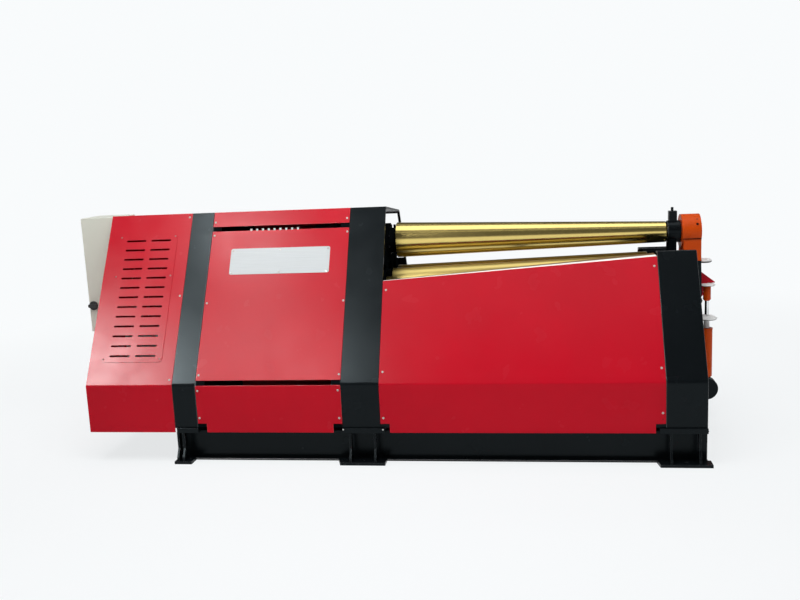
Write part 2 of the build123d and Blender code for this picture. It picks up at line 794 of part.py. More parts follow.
def make_pump_motor():
    """Foot-mounted electric motor with ribs, fan cowl and terminal box."""
    x0, x1 = motor_x
    body = cyl_along_x(x0 + 50, x1, motor_r - 8, 0, motor_z)
    body += cyl_along_x(x0, x0 + 52, motor_r, 0, motor_z)
    body += cyl_along_x(x1 - 14, x1, motor_r + 12, 0, motor_z)
    rib = box(x0 + 50, x1 - 14, -3, 3, motor_z + motor_r - 12, motor_z + motor_r)
    for k in range(12):
        turn = Pos(0, 0, motor_z) * Rot(30 * k, 0, 0) * Pos(0, 0, -motor_z)
        body += turn * rib
    body += box(x0 + 80, x1 - 50, -motor_r - 52, -motor_r + 20, motor_z - 40, motor_z + 46)
    return body + box(x0 + 70, x1 - 40, -80, 80, tank_z[1], motor_z - motor_r + 24)


def make_pump():
    """Bell housing and gear pump on the motor's shaft end."""
    x = motor_x[1]
    body = cyl_along_x(x, x + 90, 70, 0, motor_z) + cyl_along_x(x + 90, x + 104, 84, 0, motor_z)
    body += box(x + 104, x + 190, -44, 44, motor_z - 52, motor_z + 52)
    for y in (-1, 1):
        body += cyl_along_y(min(44 * y, 62 * y), max(44 * y, 62 * y), 18, x + 146, motor_z)
    return body


def make_valve_block():
    """Valve manifold on the tank lid with a row of spool valves."""
    x0 = -690.0
    z = tank_z[1]
    body = box(x0, x0 + 100, -130, 170, z, z + 84)
    for k in range(4):
        y = -96 + 72 * k
        body += box(x0 + 8, x0 + 92, y - 22, y + 22, z + 84, z + 130)
        body += cyl_along_x(x0 - 40, x0 + 8, 17, y, z + 108)
    return body


cooler_x = (-1900.0, -1580.0)
cooler_y = (-470.0, -370.0)
cooler_z = (294.0, 700.0)


def make_oil_cooler():
    """Oil cooler with its fan ring, standing on the end cover's channels."""
    x0, x1 = cooler_x
    y0, y1 = cooler_y
    z0, z1 = cooler_z
    xc = (x0 + x1) / 2
    zc = (z0 + z1) / 2
    body = box(x0, x1, y0, y1, z0, z1)
    for k in range(9):
        z = z0 + 40 + 40 * k
        body -= box(x0 + 22, x1 - 22, y0 - 1, y0 + 34, z, z + 20)
    body += cyl_along_y(y1, y1 + 50, 140, xc, zc)
    body -= cyl_along_y(y1 + 8, y1 + 60, 130, xc, zc)
    body += cyl_along_y(y1, y1 + 44, 42, xc, zc)
    for x in (x0, x1 - 40):
        body += box(x, x + 40, y0, -beam_y + 22, z0, z0 + 12)
    return body


# Electrical cabinet

def make_cabinet():
    """Grey steel cabinet on the end plate, open towards its front door."""
    x0, x1 = cab_x
    y0 = cab_y[0] + cab_door_t
    z0, z1 = cab_z
    t = cab_t
    body = box(x0, x1, y0, cab_y[1], z0, z1)
    body -= box(x0 + t, x1 - t, y0 - 1, cab_y[1] - t, z0 + t, z1 - t)
    rim = box(x0 + t, x1 - t, y0, y0 + 14, z0 + t, z1 - t)
    return body + rim - box(x0 + cab_rim, x1 - cab_rim, y0 - 1, y0 + 15, z0 + cab_rim, z1 - cab_rim)


def make_backplate():
    """Mounting plate in the cabinet with its switchgear rows."""
    y1 = cab_y[1] - cab_t
    plate = box(cab_x[0] + 30, cab_x[1] - 30, y1 - 16, y1, cab_z[0] + 60, cab_z[1] - 60)
    for row, drop in enumerate((212.0, 422.0, 612.0)):
        z = cab_z[1] - drop
        for k in range(3):
            x = cab_x[0] + 40 + 60 * k
            plate += box(x, x + 48, y1 - 70 - 10 * row, y1 - 16, z, z + 110)
    return plate


door_gap = 1.0
door_skin = 2.5
door_edge_x = cab_x[1] - 24.0
knuckle_z = (cab_z[0] + 138.0, cab_z[0] + 538.0)
knuckle_h = 31.0
knuckle_r = 6.5
knuckle_gap = 0.3
knuckle_x = cab_x[1] - 16.0
knuckle_y = cab_y[0] + 10.0
knuckle_pin_r = 3.5
handle_x = cab_x[0] + 31.0
handle_z = cab_z[0] + 172.0
handle_rose_r = 29.0
spindle_r = 9.0


def make_cabinet_door():
    """Cabinet door with folded edges and a hinge knuckle over each hinge pin."""
    x0 = cab_x[0] + door_gap
    x1 = door_edge_x
    y0 = cab_y[0]
    y1 = cab_y[0] + cab_door_t - door_gap
    z0 = cab_z[0] + door_gap
    z1 = cab_z[1] - door_gap
    t = door_skin
    door = box(x0, x1, y0, y1, z0, z1) - box(x0 + t, x1 - t, y0 + t, y1 + 1, z0 + t, z1 - t)
    door += box(x0 + 1, handle_x + 30, y0 + 1, y1 - 1, handle_z - 60, handle_z + 60)
    for z in knuckle_z:
        low = z + knuckle_h + knuckle_gap
        high = z + 2 * knuckle_h
        door += cyl_along_z(low, high, knuckle_r, knuckle_x, knuckle_y)
        door += box(x1 - t, knuckle_x, knuckle_y - 4, knuckle_y + 4, low, high)
        door -= cyl_along_z(low - 1, high + 1, knuckle_pin_r + run_gap, knuckle_x, knuckle_y)
    return door - cyl_along_y(y0 - 1, y1 + 1, spindle_r + run_gap, handle_x, handle_z)


def make_cabinet_hinges():
    """Two black hinge leaves on the cabinet's front rim, each with a knuckle and its pin."""
    out = []
    face = cab_y[0] + cab_door_t
    for z in knuckle_z:
        leaf = box(knuckle_x + 8, cab_x[1] - 2, face - 4, face, z, z + 2 * knuckle_h)
        leaf += box(knuckle_x, knuckle_x + 12, knuckle_y - 4, face, z, z + knuckle_h)
        leaf += cyl_along_z(z, z + knuckle_h, knuckle_r, knuckle_x, knuckle_y)
        leaf += cyl_along_z(z, z + 2 * knuckle_h, knuckle_pin_r, knuckle_x, knuckle_y)
        out.append(leaf)
    return out


def make_cabinet_handle():
    """Quarter-turn handle of the cabinet door on its round spindle."""
    y0 = cab_y[0]
    body = cyl_along_y(y0 - 8, y0 - 0.5, handle_rose_r, handle_x, handle_z)
    body += cyl_along_y(y0 - 0.5, y0 + 15, spindle_r, handle_x, handle_z)
    grip = box(handle_x - 29, handle_x + 29, y0 - 24, y0 - 8, handle_z - 11, handle_z + 11)
    return body + fillet(grip.edges().filter_by(Axis.Y), 9)


# Drop-end

def make_drop_housing():
    """Tilting bearing housing: ring, two cheeks, outer web and hinge hub."""
    z = top_axis_z
    ring = cyl_along_x(*ring_x, ring_r, 0, z)
    ring += cyl_along_x(ring_x[1] - 12, ring_x[1] + 6, ring_r - 26, 0, z)
    for side in (-1, 1):
        y0, y1 = sorted((side * cheek_y[0], side * cheek_y[1]))
        pts = [(ring_x[0] + 8, z), (ring_x[1], z), (ring_x[1], arm_end_z), (hinge_x + hub_r, hinge_z + 40),
               (hinge_x + hub_r - 8, hinge_z - 20), (hinge_x - 20, hinge_z - hub_r + 6),
               (hinge_x - hub_r, hinge_z), (ring_x[0] + 8, hinge_z + 187)]
        ring += plate_xz(pts, y0, y1)
    ring += box(ring_x[1] - 24, ring_x[1], -cheek_y[1], cheek_y[1], arm_end_z, z)
    ring += box(ring_x[0] + 8, ring_x[0] + 30, -cheek_y[1], cheek_y[1], arm_end_z - 12, z)
    ring += cyl_along_y(-cheek_y[1], cheek_y[1], hub_r, hinge_x, hinge_z)
    ring -= cyl_along_y(-200, 200, hinge_pin_r + run_gap, hinge_x, hinge_z)
    ring -= cyl_along_x(ring_x[0] - 1, bush_x[1], bush_r, 0, z)
    slot = lever_t / 2
    return ring - box(hinge_x - 80, hinge_x + 80, -slot, slot, hinge_z - 60, hinge_z + 190)


def cone_radius(x):
    """Radius of the top roll's tapered neck at a station."""
    return neck_r + (cone_end_r - neck_r) * (x - cone_x[0]) / (cone_x[1] - cone_x[0])


def make_bush():
    """Bronze bush with a tapered bore that slides off the roll's neck."""
    x0, x1 = bush_x
    g = run_gap
    pts = [(cone_radius(x0) + g, x0), (bush_r - 0.05, x0), (bush_r - 0.05, x1), (0, x1), (0, x1 - 4),
           (cone_radius(x1 - 4) + g, x1 - 4)]
    return Pos(0, 0, top_axis_z) * Rot(0, 90, 0) * turned(pts)


def make_sleeve():
    """Sleeve on the housing's inner face around the roll's neck, with a rim at the roll."""
    z = top_axis_z
    body = cyl_along_x(*sleeve_x, sleeve_r, 0, z)
    body += cyl_along_x(sleeve_x[0] - 4, sleeve_x[0] + 6, sleeve_r - 2, 0, z)
    return body - cyl_along_x(sleeve_x[0] - 5, sleeve_x[1] + 1, sleeve_bore, 0, z)


def make_lubricator():
    """Grease block on top of the sleeve with its filling nipple."""
    z = top_axis_z + sleeve_r
    x0 = sleeve_x[0] + 8
    block = box(x0, x0 + 48, -22, 22, z - 14, z + 58)
    block -= cyl_along_x(*sleeve_x, sleeve_r, 0, top_axis_z)
    return block + cyl_along_z(z + 58, z + 80, 8, x0 + 22, 0)


lever_top = [(hinge_x - 24, hinge_z + 120), (hinge_x + 37, hinge_z + 165), (hinge_x + 124, hinge_z + 97)]
strut_x = hinge_x + 28.0
strut_r = 9.0
disc_x = hinge_x + 58.0
disc_r = 47.0
arm_end_z = hinge_z + 239.0
disc_t = 22.0


def make_lever():
    """Flat lever on the hub with a slotted eye for the rod's pin."""
    reach = cyl_x - hinge_x
    angle = atan((pin_rest_z - hinge_z) / reach)
    r_near = reach - slot_gap
    r_far = reach / cos(angle) + slot_gap
    wall = clevis_pin_r + slot_gap + eye_wall
    boss_r = hub_r - 2
    over_flange = pin_rest_z + clevis_rise + flange_t + 2
    pts = lever_top + [(lever_top[2][0], over_flange), (cyl_x, over_flange), (cyl_x, pin_rest_z)]
    pts += [(hinge_x + boss_r * sin(angle), hinge_z - boss_r * cos(angle)), (hinge_x - boss_r, hinge_z)]
    half = lever_t / 2
    plate = plate_xz(pts, -half, half) + cyl_along_y(-half, half, boss_r, hinge_x, hinge_z)
    middle = (r_near + r_far) / 2
    place = Pos(hinge_x, 0, hinge_z) * Rot(0, -degrees(angle), 0) * Pos(middle, 0, 0) * Rot(90, 0, 0)
    plate += place * extrude(SlotCenterToCenter(r_far - r_near, 2 * wall), amount=half, both=True)
    plate -= cyl_along_y(-40, 40, hinge_pin_r + run_gap, hinge_x, hinge_z)
    eye = SlotCenterToCenter(r_far - r_near, 2 * (clevis_pin_r + slot_gap))
    return plate - place * extrude(eye, amount=40, both=True)


def make_strut():
    """Screw strut from the lever up to the disc under the arm."""
    y = lever_t / 2
    low = lever_top[2][1]
    body = cyl_along_z(low, arm_end_z - disc_t, strut_r, strut_x, 0)
    body += box(strut_x - 14, lever_top[1][0], -y, y, low, lever_top[1][1])
    below = plate_xz(lever_top + [(lever_top[2][0], low - 200), (lever_top[0][0], low - 200)], -60, 60)
    return body - below


def make_strut_disc():
    """Round nut disc of the strut, seated under the housing's outer web."""
    z0 = arm_end_z - disc_t
    pts = [(0, z0), (disc_r - 6, z0), (disc_r, z0 + 5), (disc_r, z0 + 12), (disc_r - 10, arm_end_z),
           (0, arm_end_z)]
    return Pos(disc_x, 0, 0) * turned(pts)


def make_hinge_bracket(side):
    """Bracket plate welded to the right stand's outer face."""
    y0, y1 = sorted((side * bracket_y[0], side * bracket_y[1]))
    x0 = stand_right_x[1]
    pts = [(x0, hinge_z - 110), (hinge_x, hinge_z - 34), (hinge_x + 26, hinge_z - 22),
           (hinge_x + 34, hinge_z), (hinge_x + 26, hinge_z + 22), (hinge_x, hinge_z + 34), (x0, hinge_z + 90)]
    plate = plate_xz(pts, y0, y1)
    return plate - cyl_along_y(y0 - 1, y1 + 1, hinge_pin_r, hinge_x, hinge_z)


def make_hinge_pin():
    """Hinge pin of the drop-end with a head washer at each end."""
    y = bracket_y[1]
    pin = cyl_along_y(-y, y, hinge_pin_r - pin_fit, hinge_x, hinge_z)
    for a, b in ((-y - pin_head_t, -y), (y, y + pin_head_t)):
        pin += cyl_along_y(a, b, hinge_pin_r + pin_head_w, hinge_x, hinge_z)
    return pin


def make_rod():
    """Rod of the drop-end cylinder with its piston."""
    top = pin_rest_z - clevis_drop
    base = piston_z - piston_t
    pts = [(0, base), (piston_r, base), (piston_r, piston_z), (rod_r, piston_z),
           (rod_r, top), (0, top)]
    return Pos(cyl_x, 0, 0) * turned(pts)


def make_clevis():
    """Round clevis on the rod, forked around the lever."""
    z0 = pin_rest_z - clevis_drop
    z1 = pin_rest_z + clevis_rise
    pts = [(0, z0), (clevis_r - 7, z0), (clevis_r, z0 + 9), (clevis_r, z1), (0, z1)]
    body = Pos(cyl_x, 0, 0) * turned(pts)
    half = clevis_gap / 2
    body -= box(cyl_x - 60, cyl_x + 60, -half, half, pin_rest_z - fork_depth, z1 + 1)
    return body - cyl_along_y(-60, 60, clevis_pin_r, cyl_x, pin_rest_z)


def make_clevis_flange():
    """Dished guard flange on the clevis, split for the lever."""
    z = pin_rest_z + clevis_rise
    r = flange_r
    pts = [(0, z), (r - 4, z), (r, z + 3), (r, z + 7), (r - 18, z + flange_t), (0, z + flange_t)]
    disc = Pos(cyl_x, 0, 0) * turned(pts)
    disc -= box(cyl_x - 90, cyl_x + 90, -clevis_gap / 2, clevis_gap / 2, z - 1, z + 20)
    disc -= box(cyl_x - 90, hinge_x + hub_r + hub_gap, -90, 90, z - 1, z + 20)
    return [disc & box(cyl_x - 90, cyl_x + 90, 0, 90, z - 1, z + 30),
            disc & box(cyl_x - 90, cyl_x + 90, -90, 0, z - 1, z + 30)]


def make_clevis_pin():
    """Pin through the clevis and the lever's slotted eye."""
    y = clevis_r + 1
    pin = cyl_along_y(-y, y, clevis_pin_r - pin_fit, cyl_x, pin_rest_z)
    return pin & cyl_along_z(pin_rest_z - clevis_drop, pin_rest_z + clevis_rise, clevis_r, cyl_x, 0)


def make_cyl_barrel():
    """Barrel of the drop-end cylinder with its base eye."""
    low = cyl_base_z + ear_r + 5
    floor = low + barrel_floor
    top = barrel_top_z
    roof = top - barrel_wall
    rim_r, rim_h = barrel_rim
    bore = piston_r + run_gap
    throat = rod_r + run_gap
    pts = [(0, low), (barrel_r - 5, low), (barrel_r, low + 5), (barrel_r, top - rim_h), (rim_r, top - rim_h),
           (rim_r, top), (throat, top), (throat, roof), (bore, roof), (bore, floor), (0, floor)]
    body = Pos(cyl_x, 0, 0) * turned(pts)
    body += cyl_along_y(-eye_half, eye_half, eye_r, cyl_x, cyl_base_z)
    body += box(cyl_x - 15, cyl_x + 15, -eye_half, eye_half, cyl_base_z, low + 1)
    return body - cyl_along_y(-eye_half - 1, eye_half + 1, base_pin_r, cyl_x, cyl_base_z)


def make_gland():
    """Gland nut with its dished cap around the rod."""
    g = rod_r + run_gap
    z = barrel_top_z
    n = gland_neck_r
    r = gland_cap_r
    pts = [(g, z), (n, z), (n, z + 52), (r - 5, z + 54), (r, z + 58), (r, z + 64), (n + 5, z + 82),
           (g, z + 82)]
    return Pos(cyl_x, 0, 0) * turned(pts)


def make_cyl_foot():
    """Two rounded ear plates on the sole plate's end that hold the cylinder's base eye."""
    x0 = right_hoop_x[1] + sole_reach[2][1]
    low = cyl_base_z - ear_r
    high = cyl_base_z + ear_r
    foot = box(x0, x0 + ear_t, -ear_r, ear_r, low, high)
    for side in (-1, 1):
        y0, y1 = sorted((side * ear_y, side * (ear_y + ear_t)))
        foot += box(x0, cyl_x, y0, y1, low, high) + cyl_along_y(y0, y1, ear_r, cyl_x, cyl_base_z)
    return foot - cyl_along_y(-ear_r, ear_r, base_pin_r, cyl_x, cyl_base_z)


def make_cyl_pin():
    """Base pin of the drop-end cylinder."""
    y = ear_y + ear_t
    pin = cyl_along_y(-y, y, base_pin_r - pin_fit, cyl_x, cyl_base_z)
    for a, b in ((-y - pin_head_t, -y), (y, y + pin_head_t)):
        pin += cyl_along_y(a, b, base_pin_r + pin_head_w, cyl_x, cyl_base_z)
    return pin


tie_y = 430.0


def make_tie_bar(side):
    """Square tie tube between the two stands."""
    y = side * tie_y
    x0 = stand_left_x[1]
    x1 = stand_right_x[0]
    tube = box(x0, x1, y - 50, y + 50, 280, 400)
    return tube - box(x0 - 1, x1 + 1, y - 42, y + 42, 288, 392)


def save(name, shape):
    """Write one piece, or a group of separate solids, to its own file."""
    if isinstance(shape, (list, tuple)):
        solids = [s for item in shape for s in item.solids()]
        shape = Compound(children=solids) if len(solids) > 1 else solids[0]
    export_step(shape, f"parts/{name}.step")


bottom_place = axis_place(0, bottom_axis_z0)
bottom_shaft_reach = bottom_gear_s + 98

save("base_rails", [make_rail(-1), make_rail(1)])
save("base_cross_members", [make_cross_member(x) for x in cross_x])
save("stand_sole_plates", [make_sole(portal, reach) for portal, reach in zip(portals, sole_reach)])
save("anchor_feet", [make_foot(number, side) for side in (-1, 1) for number in range(len(portals))])
save("left_hoop", make_left_hoop())
save("middle_hoop", make_middle_hoop())
save("right_legs", [make_right_leg(-1), make_right_leg(1)])
save("roll_stand_left", make_stand_left())
save("roll_stand_right", make_stand_right())
save("stand_tie_bars", [make_tie_bar(-1), make_tie_bar(1)])
save("top_roll_bearing", make_bearing())
save("top_roll", make_top_roll())
save("top_gearbox", make_top_gearbox())
save("top_drive_motor", make_top_motor())

save("bottom_roll", bottom_place * make_lower_roll(bottom_r0, bottom_r1, bottom_neck_l, bottom_gear_s - 4,
                                                   bottom_shaft_r, bottom_shaft_reach))
save("bottom_roll_chocks", chock_pair(0))
save("bottom_lift_rods", [make_lift_rod(s, 0) for s in lift_stations(0, side_rest(0))])
save("bottom_gearbox", make_bottom_gearbox())
save("bottom_drive_motor", make_bottom_motor())
side_reach = (roll_x0 - chock_left_x[0]) / cos(lower_slope)
for side_name, side_sign in (("front", -1), ("rear", 1)):
    side_roll = make_lower_roll(side_r0, side_r1, side_neck_l, side_reach - 6, side_neck_l - 4, side_reach)
    save(f"{side_name}_side_roll", axis_place(*side_rest(side_sign)) * side_roll)
    save(f"{side_name}_roll_chocks", chock_pair(side_sign))
    stations = lift_stations(side_sign, side_rest(side_sign))
    save(f"{side_name}_lift_rods", [make_lift_rod(station, side_sign) for station in stations])
lowest = {0: (0.0, bottom_axis_z0), -1: (-side_y, side_axis_z0), 1: (side_y, side_axis_z0)}
save("lift_cylinder_barrels", [make_lift_barrel(station, side) for side, place in lowest.items()
                               for station in lift_stations(side, place)])

save("end_cover_front", make_end_cover_front())
save("end_cover_plate", make_end_plate())
save("end_cover_floor", [make_cover_floor(), make_cantilever(-1), make_cantilever(1)])
save("rear_cover_sheets", [make_end_cover_rear(), make_rear_panel()])
save("roof_sheets", [roof_sheet(cover_left_x, left_hoop_x[0] - seam), roof_sheet(*door_x)])
save("vent_panel", make_vent_panel())
save("drive_top_strip", make_top_strip())
save("drive_front_panel", make_door_panel())
save("drive_lower_panels", [make_lower_panel(-1), make_lower_panel(1)])
save("nameplate", make_nameplate())
save("roll_panel_front", make_long_panel(-1))
save("roll_panel_rear", make_long_panel(1))

save("hydraulic_tank", make_tank())
save("pump_set", [make_pump_motor(), make_pump()])
save("valve_block", make_valve_block())
save("oil_cooler", make_oil_cooler())
save("cabinet_body", make_cabinet())
save("cabinet_backplate", make_backplate())
save("cabinet_hinges", make_cabinet_hinges())
save("cabinet_door", make_cabinet_door())
save("cabinet_handle", make_cabinet_handle())

save("drop_end_housing", make_drop_housing())
save("drop_end_bush", make_bush())
save("neck_sleeve", [make_sleeve(), make_lubricator()])
save("drop_end_lever", make_lever())
save("lever_strut", [make_strut(), make_strut_disc()])
save("drop_end_brackets", [make_hinge_bracket(-1), make_hinge_bracket(1)])
save("drop_end_pins", [make_hinge_pin(), make_cyl_pin()])
save("drop_cylinder_barrel", make_cyl_barrel())
save("drop_cylinder_gland", make_gland())
save("drop_cylinder_foot", make_cyl_foot())
save("drop_cylinder_rod", make_rod())
save("rod_clevis", make_clevis())
save("clevis_hardware", make_clevis_flange() + [make_clevis_pin()])
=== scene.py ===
"""Dresses the four-roll plate rolling machine: finishes, rounded sheet metal, fasteners and the studio."""

import json
from math import cos, hypot, pi, radians, sin

import bmesh
import bpy
from bpy.props import FloatProperty, FloatVectorProperty, IntProperty, PointerProperty
from mathutils import Matrix, Vector

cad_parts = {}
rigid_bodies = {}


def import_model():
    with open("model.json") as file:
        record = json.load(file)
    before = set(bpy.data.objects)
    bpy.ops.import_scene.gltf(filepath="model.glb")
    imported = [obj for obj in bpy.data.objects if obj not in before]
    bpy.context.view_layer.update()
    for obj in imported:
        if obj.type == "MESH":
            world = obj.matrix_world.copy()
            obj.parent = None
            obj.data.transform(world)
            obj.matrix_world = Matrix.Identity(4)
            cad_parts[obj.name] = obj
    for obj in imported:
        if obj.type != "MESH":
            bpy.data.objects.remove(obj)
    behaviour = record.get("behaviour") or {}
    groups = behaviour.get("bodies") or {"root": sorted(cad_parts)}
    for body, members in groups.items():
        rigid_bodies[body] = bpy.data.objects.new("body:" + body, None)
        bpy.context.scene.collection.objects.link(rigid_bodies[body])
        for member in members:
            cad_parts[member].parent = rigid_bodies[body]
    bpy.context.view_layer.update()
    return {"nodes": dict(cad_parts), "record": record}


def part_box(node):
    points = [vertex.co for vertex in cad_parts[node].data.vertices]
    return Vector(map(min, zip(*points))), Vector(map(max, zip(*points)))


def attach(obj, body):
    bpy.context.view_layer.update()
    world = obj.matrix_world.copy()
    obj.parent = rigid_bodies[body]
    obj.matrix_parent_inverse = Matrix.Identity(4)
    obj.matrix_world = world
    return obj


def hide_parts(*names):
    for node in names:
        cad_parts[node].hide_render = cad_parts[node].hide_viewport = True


for leftover in list(bpy.data.objects):
    bpy.data.objects.remove(leftover)
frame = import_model()

bl_info = {
    "name": "Plate rolling machine",
    "version": (1, 0, 0),
    "blender": (4, 5, 0),
    "location": "View3D > Sidebar > Plate roll",
    "description": "Finishes, fasteners and studio of a four-roll plate rolling machine",
    "category": "Object",
}


def body_of_node():
    """The body that each solid of the machine rides on."""
    bodies = frame["record"]["behaviour"]["bodies"]
    return {node: body for body, nodes in bodies.items() for node in nodes}


def slot_of_node():
    """The material slot that each solid of the machine takes its finish from."""
    return {name: node.data.materials[0].name for name, node in frame["nodes"].items()}


BODY = body_of_node()
SLOT = slot_of_node()

# Axes by number
X, Z = 0, 2


def colour(name, words, red, green, blue):
    """A colour setting."""
    return FloatVectorProperty(name=name, description=words, subtype="COLOR", size=3, min=0.0, max=1.0,
                               default=(red, green, blue))


def length(name, words, metres):
    """A length setting."""
    return FloatProperty(name=name, description=words, default=metres, min=0.0,
                         subtype="DISTANCE", unit="LENGTH")


def share(name, words, value):
    """A setting between nothing and all."""
    return FloatProperty(name=name, description=words, default=value, min=0.0, max=1.0, subtype="FACTOR")


def power(name, words, watts):
    """A light's power setting."""
    return FloatProperty(name=name, description=words, default=watts, min=0.0, subtype="POWER", unit="POWER")


class FinishSettings(bpy.types.PropertyGroup):
    """Colours and gloss of the machine's finishes"""
    red: colour("Red paint", "Sheet covers and panels", 0.50, 0.0045, 0.0165)
    black: colour("Black paint", "Portals, rails and feet", 0.0038, 0.0051, 0.0062)
    # Edge colours lighter than their paints: painted highlights along broken edges, rims and upward faces
    red_edge_highlight: colour("Red edges", "Broken edges and rims of the red sheets", 0.58, 0.030, 0.040)
    black_edge_highlight: colour("Black edges", "Broken edges of the black plates", 0.06, 0.063, 0.066)
    rail_edge_highlight: colour("Rail edges", "Worn edges of the base rails", 0.08, 0.082, 0.085)
    orange: colour("Orange paint", "Drop-end housing", 0.60, 0.066, 0.003)
    grey: colour("Grey paint", "Electrical cabinet", 0.66, 0.67, 0.585)
    steel: colour("Roll steel", "Ground rolls under a film of oil", 0.80, 0.62, 0.21)
    machined: colour("Machined steel", "Turned and milled parts", 0.46, 0.45, 0.43)
    chrome: colour("Chromed rod", "Cylinder rods", 0.72, 0.73, 0.74)
    casting: colour("Cast housing", "Gearboxes, motors and valves", 0.085, 0.10, 0.115)
    plate: colour("Plate aluminium", "Bare nameplate", 0.56, 0.59, 0.60)
    # Bright zinc, and the painted highlight on the drop-end discs' upper faces and on the long panels' rims
    bright: colour("Bright zinc", "Discs of the drop-end and rims of the long panels", 0.93, 0.93, 0.92)
    bronze: colour("Bronze", "Bearing bushes", 0.48, 0.27, 0.10)
    plastic: colour("Black plastic", "Hinges, handle and gland", 0.012, 0.012, 0.013)
    vent_screw: colour("Vent screws", "Painted screws of the vent panel", 0.36, 0.15, 0.15)
    # Painted shade on the inner half of the long panels' rims
    rim_shade: colour("Oil stain", "Oil on the inner half of the long panels' rims", 0.15, 0.078, 0.03)
    # Blackened screws, and the painted shade under the drop-end's discs and in the spare hole
    screw: colour("Blackened screws", "Socket screws of bearings and flanges", 0.020, 0.021, 0.023)
    zinc: colour("Zinc-plated screws", "Round screws of the covers", 0.52, 0.52, 0.50)
    paint_roughness: share("Paint roughness", "Gloss of the painted sheets", 0.25)
    roll_roughness: share("Roll roughness", "Gloss of the ground rolls", 0.20)


class SkinSettings(bpy.types.PropertyGroup):
    """Shape of the skins, and where their finishes part"""
    fold_depth: length("Fold depth", "How far the upright skins stand from the middle", 0.831)
    fold_height: length("Fold height", "Where the skins start to lean", 0.464)
    top_depth: length("Top depth", "How far the leaning skins' top edge stands from the middle", 0.274)
    top_height: length("Top height", "Height of the leaning skins' top edge", 1.414)
    sheet_fold: length("Sheet fold radius", "Outer radius of a bent cover sheet", 0.007)
    plate_fold: length("Portal fold radius", "Outer radius of a portal's bend", 0.016)
    sheet_edge: length("Sheet edge radius", "Broken edge of a cover sheet", 0.0018)
    vent_edge: length("Vent edge radius", "Broken edge of the vent panel and its slots", 0.0027)
    plate_edge: length("Plate edge radius", "Broken edge of a heavy plate", 0.0024)
    rail_round: length("Rail edge radius", "Rolled edge of a base rail", 0.00384)
    small_edge: length("Small edge radius", "Broken edge of the drop-end's pieces", 0.00144)
    foil_edge: length("Nameplate edge radius", "Broken edge of the nameplate", 0.0004)
    # Below this height the base rails' rims take a painted highlight; above it they stay plain black
    rail_highlight_height: length("Rail wear", "Height up to which the base rails' edges are worn", 0.1)
    panel_lap: length("Panel lap", "How far the drive panel reaches under the left portal", 0.003)
    flange: length("Flange thickness", "Thickness of the top bearing's flange", 0.010)
    arm_end: length("Arm end", "Height where the drop-end's orange paint ends", 1.012)
    tray_gap: length("Tray gap", "Gap from the end cover's floor to the sole plate, which is closed", 0.013)
    # Above this height the strut is bright as painted highlight, below it dark as painted shade
    disc_height: length("Disc height", "Middle of the lever strut's disc, bright above it", 0.999)
    guard_height: length("Guard height", "Height between the clevis pin and the guard flange", 0.840)
    # The bead is black against the orange: a painted shadow line under the ring
    seam_depth: length("Seam depth", "How far the drop-end ring's seam stands from the middle", 0.0956)
    seam_radius: length("Seam radius", "Bead between the drop-end's ring and its arm", 0.0026)


class FastenerSettings(bpy.types.PropertyGroup):
    """Sizes of the screws, rivets, bolts and studs"""
    cover_screw: length("Cover screw head", "Radius of the round screws of the covers", 0.0062)
    rivet: length("Rivet head", "Radius of the nameplate's rivets", 0.0062)
    cap_screw: length("Cap screw head", "Radius of the socket screws of bearings and flanges", 0.0090)
    bolt_circle: length("Bolt circle", "Radius of the ring of screws in the top bearing's flange", 0.088)
    panel_stud: length("Panel stud", "Radius of the studs behind the drive panel's upper edge", 0.0065)
    stud_height: length("Panel stud height", "Height of those studs", 0.012)
    stud_pitch: length("Panel stud pitch", "Distance from one of those studs to the next", 0.0365)
    stud_count: IntProperty(name="Panel studs", description="Number of those studs", default=9, min=1)
    ring_screw: length("Ring screw head", "Radius of the drop-end ring's screw", 0.0075)
    ledge_bolt: length("Ledge bolt head", "Radius over the corners of the sole plate's bolts", 0.0046)
    sides: IntProperty(name="Head sides", description="Sides of a round head", default=20, min=8, max=48)


class StudioSettings(bpy.types.PropertyGroup):
    """Camera, background and lights"""
    camera_place: FloatVectorProperty(name="Camera", description="Where the camera stands", subtype="XYZ",
                                      unit="LENGTH", default=(0.607, -5.554, 1.7541))
    camera_right: FloatVectorProperty(name="Camera right", description="The picture's right", subtype="XYZ",
                                      default=(0.9886315, 0.14329296, -0.04555084))
    camera_down: FloatVectorProperty(name="Camera down", description="The picture's downward side",
                                     subtype="XYZ", default=(-0.02028354, -0.17307848, -0.98469915))
    sensor: FloatProperty(name="Sensor", description="Width of the sensor in millimetres", default=36.0)
    lens: FloatProperty(name="Lens", description="Focal length in millimetres", default=40.0)
    backdrop: colour("Backdrop", "Pale background", 0.945, 0.965, 0.975)
    floor: colour("Floor", "Pale floor", 0.84, 0.855, 0.865)
    key_power: power("Key light", "Power of the large soft light above", 160.0)
    rear_power: power("Rear light", "Power of the large soft light behind", 110.0)
    gloss_power: power("Gloss light", "Power of the light that shines in the end cover", 420.0)
    door_share: share("Door gloss", "Share of that power that shines in the drive panel", 0.27)
    strip_share: share("Strip gloss", "Share of that power that shines in the strip above it", 0.24)


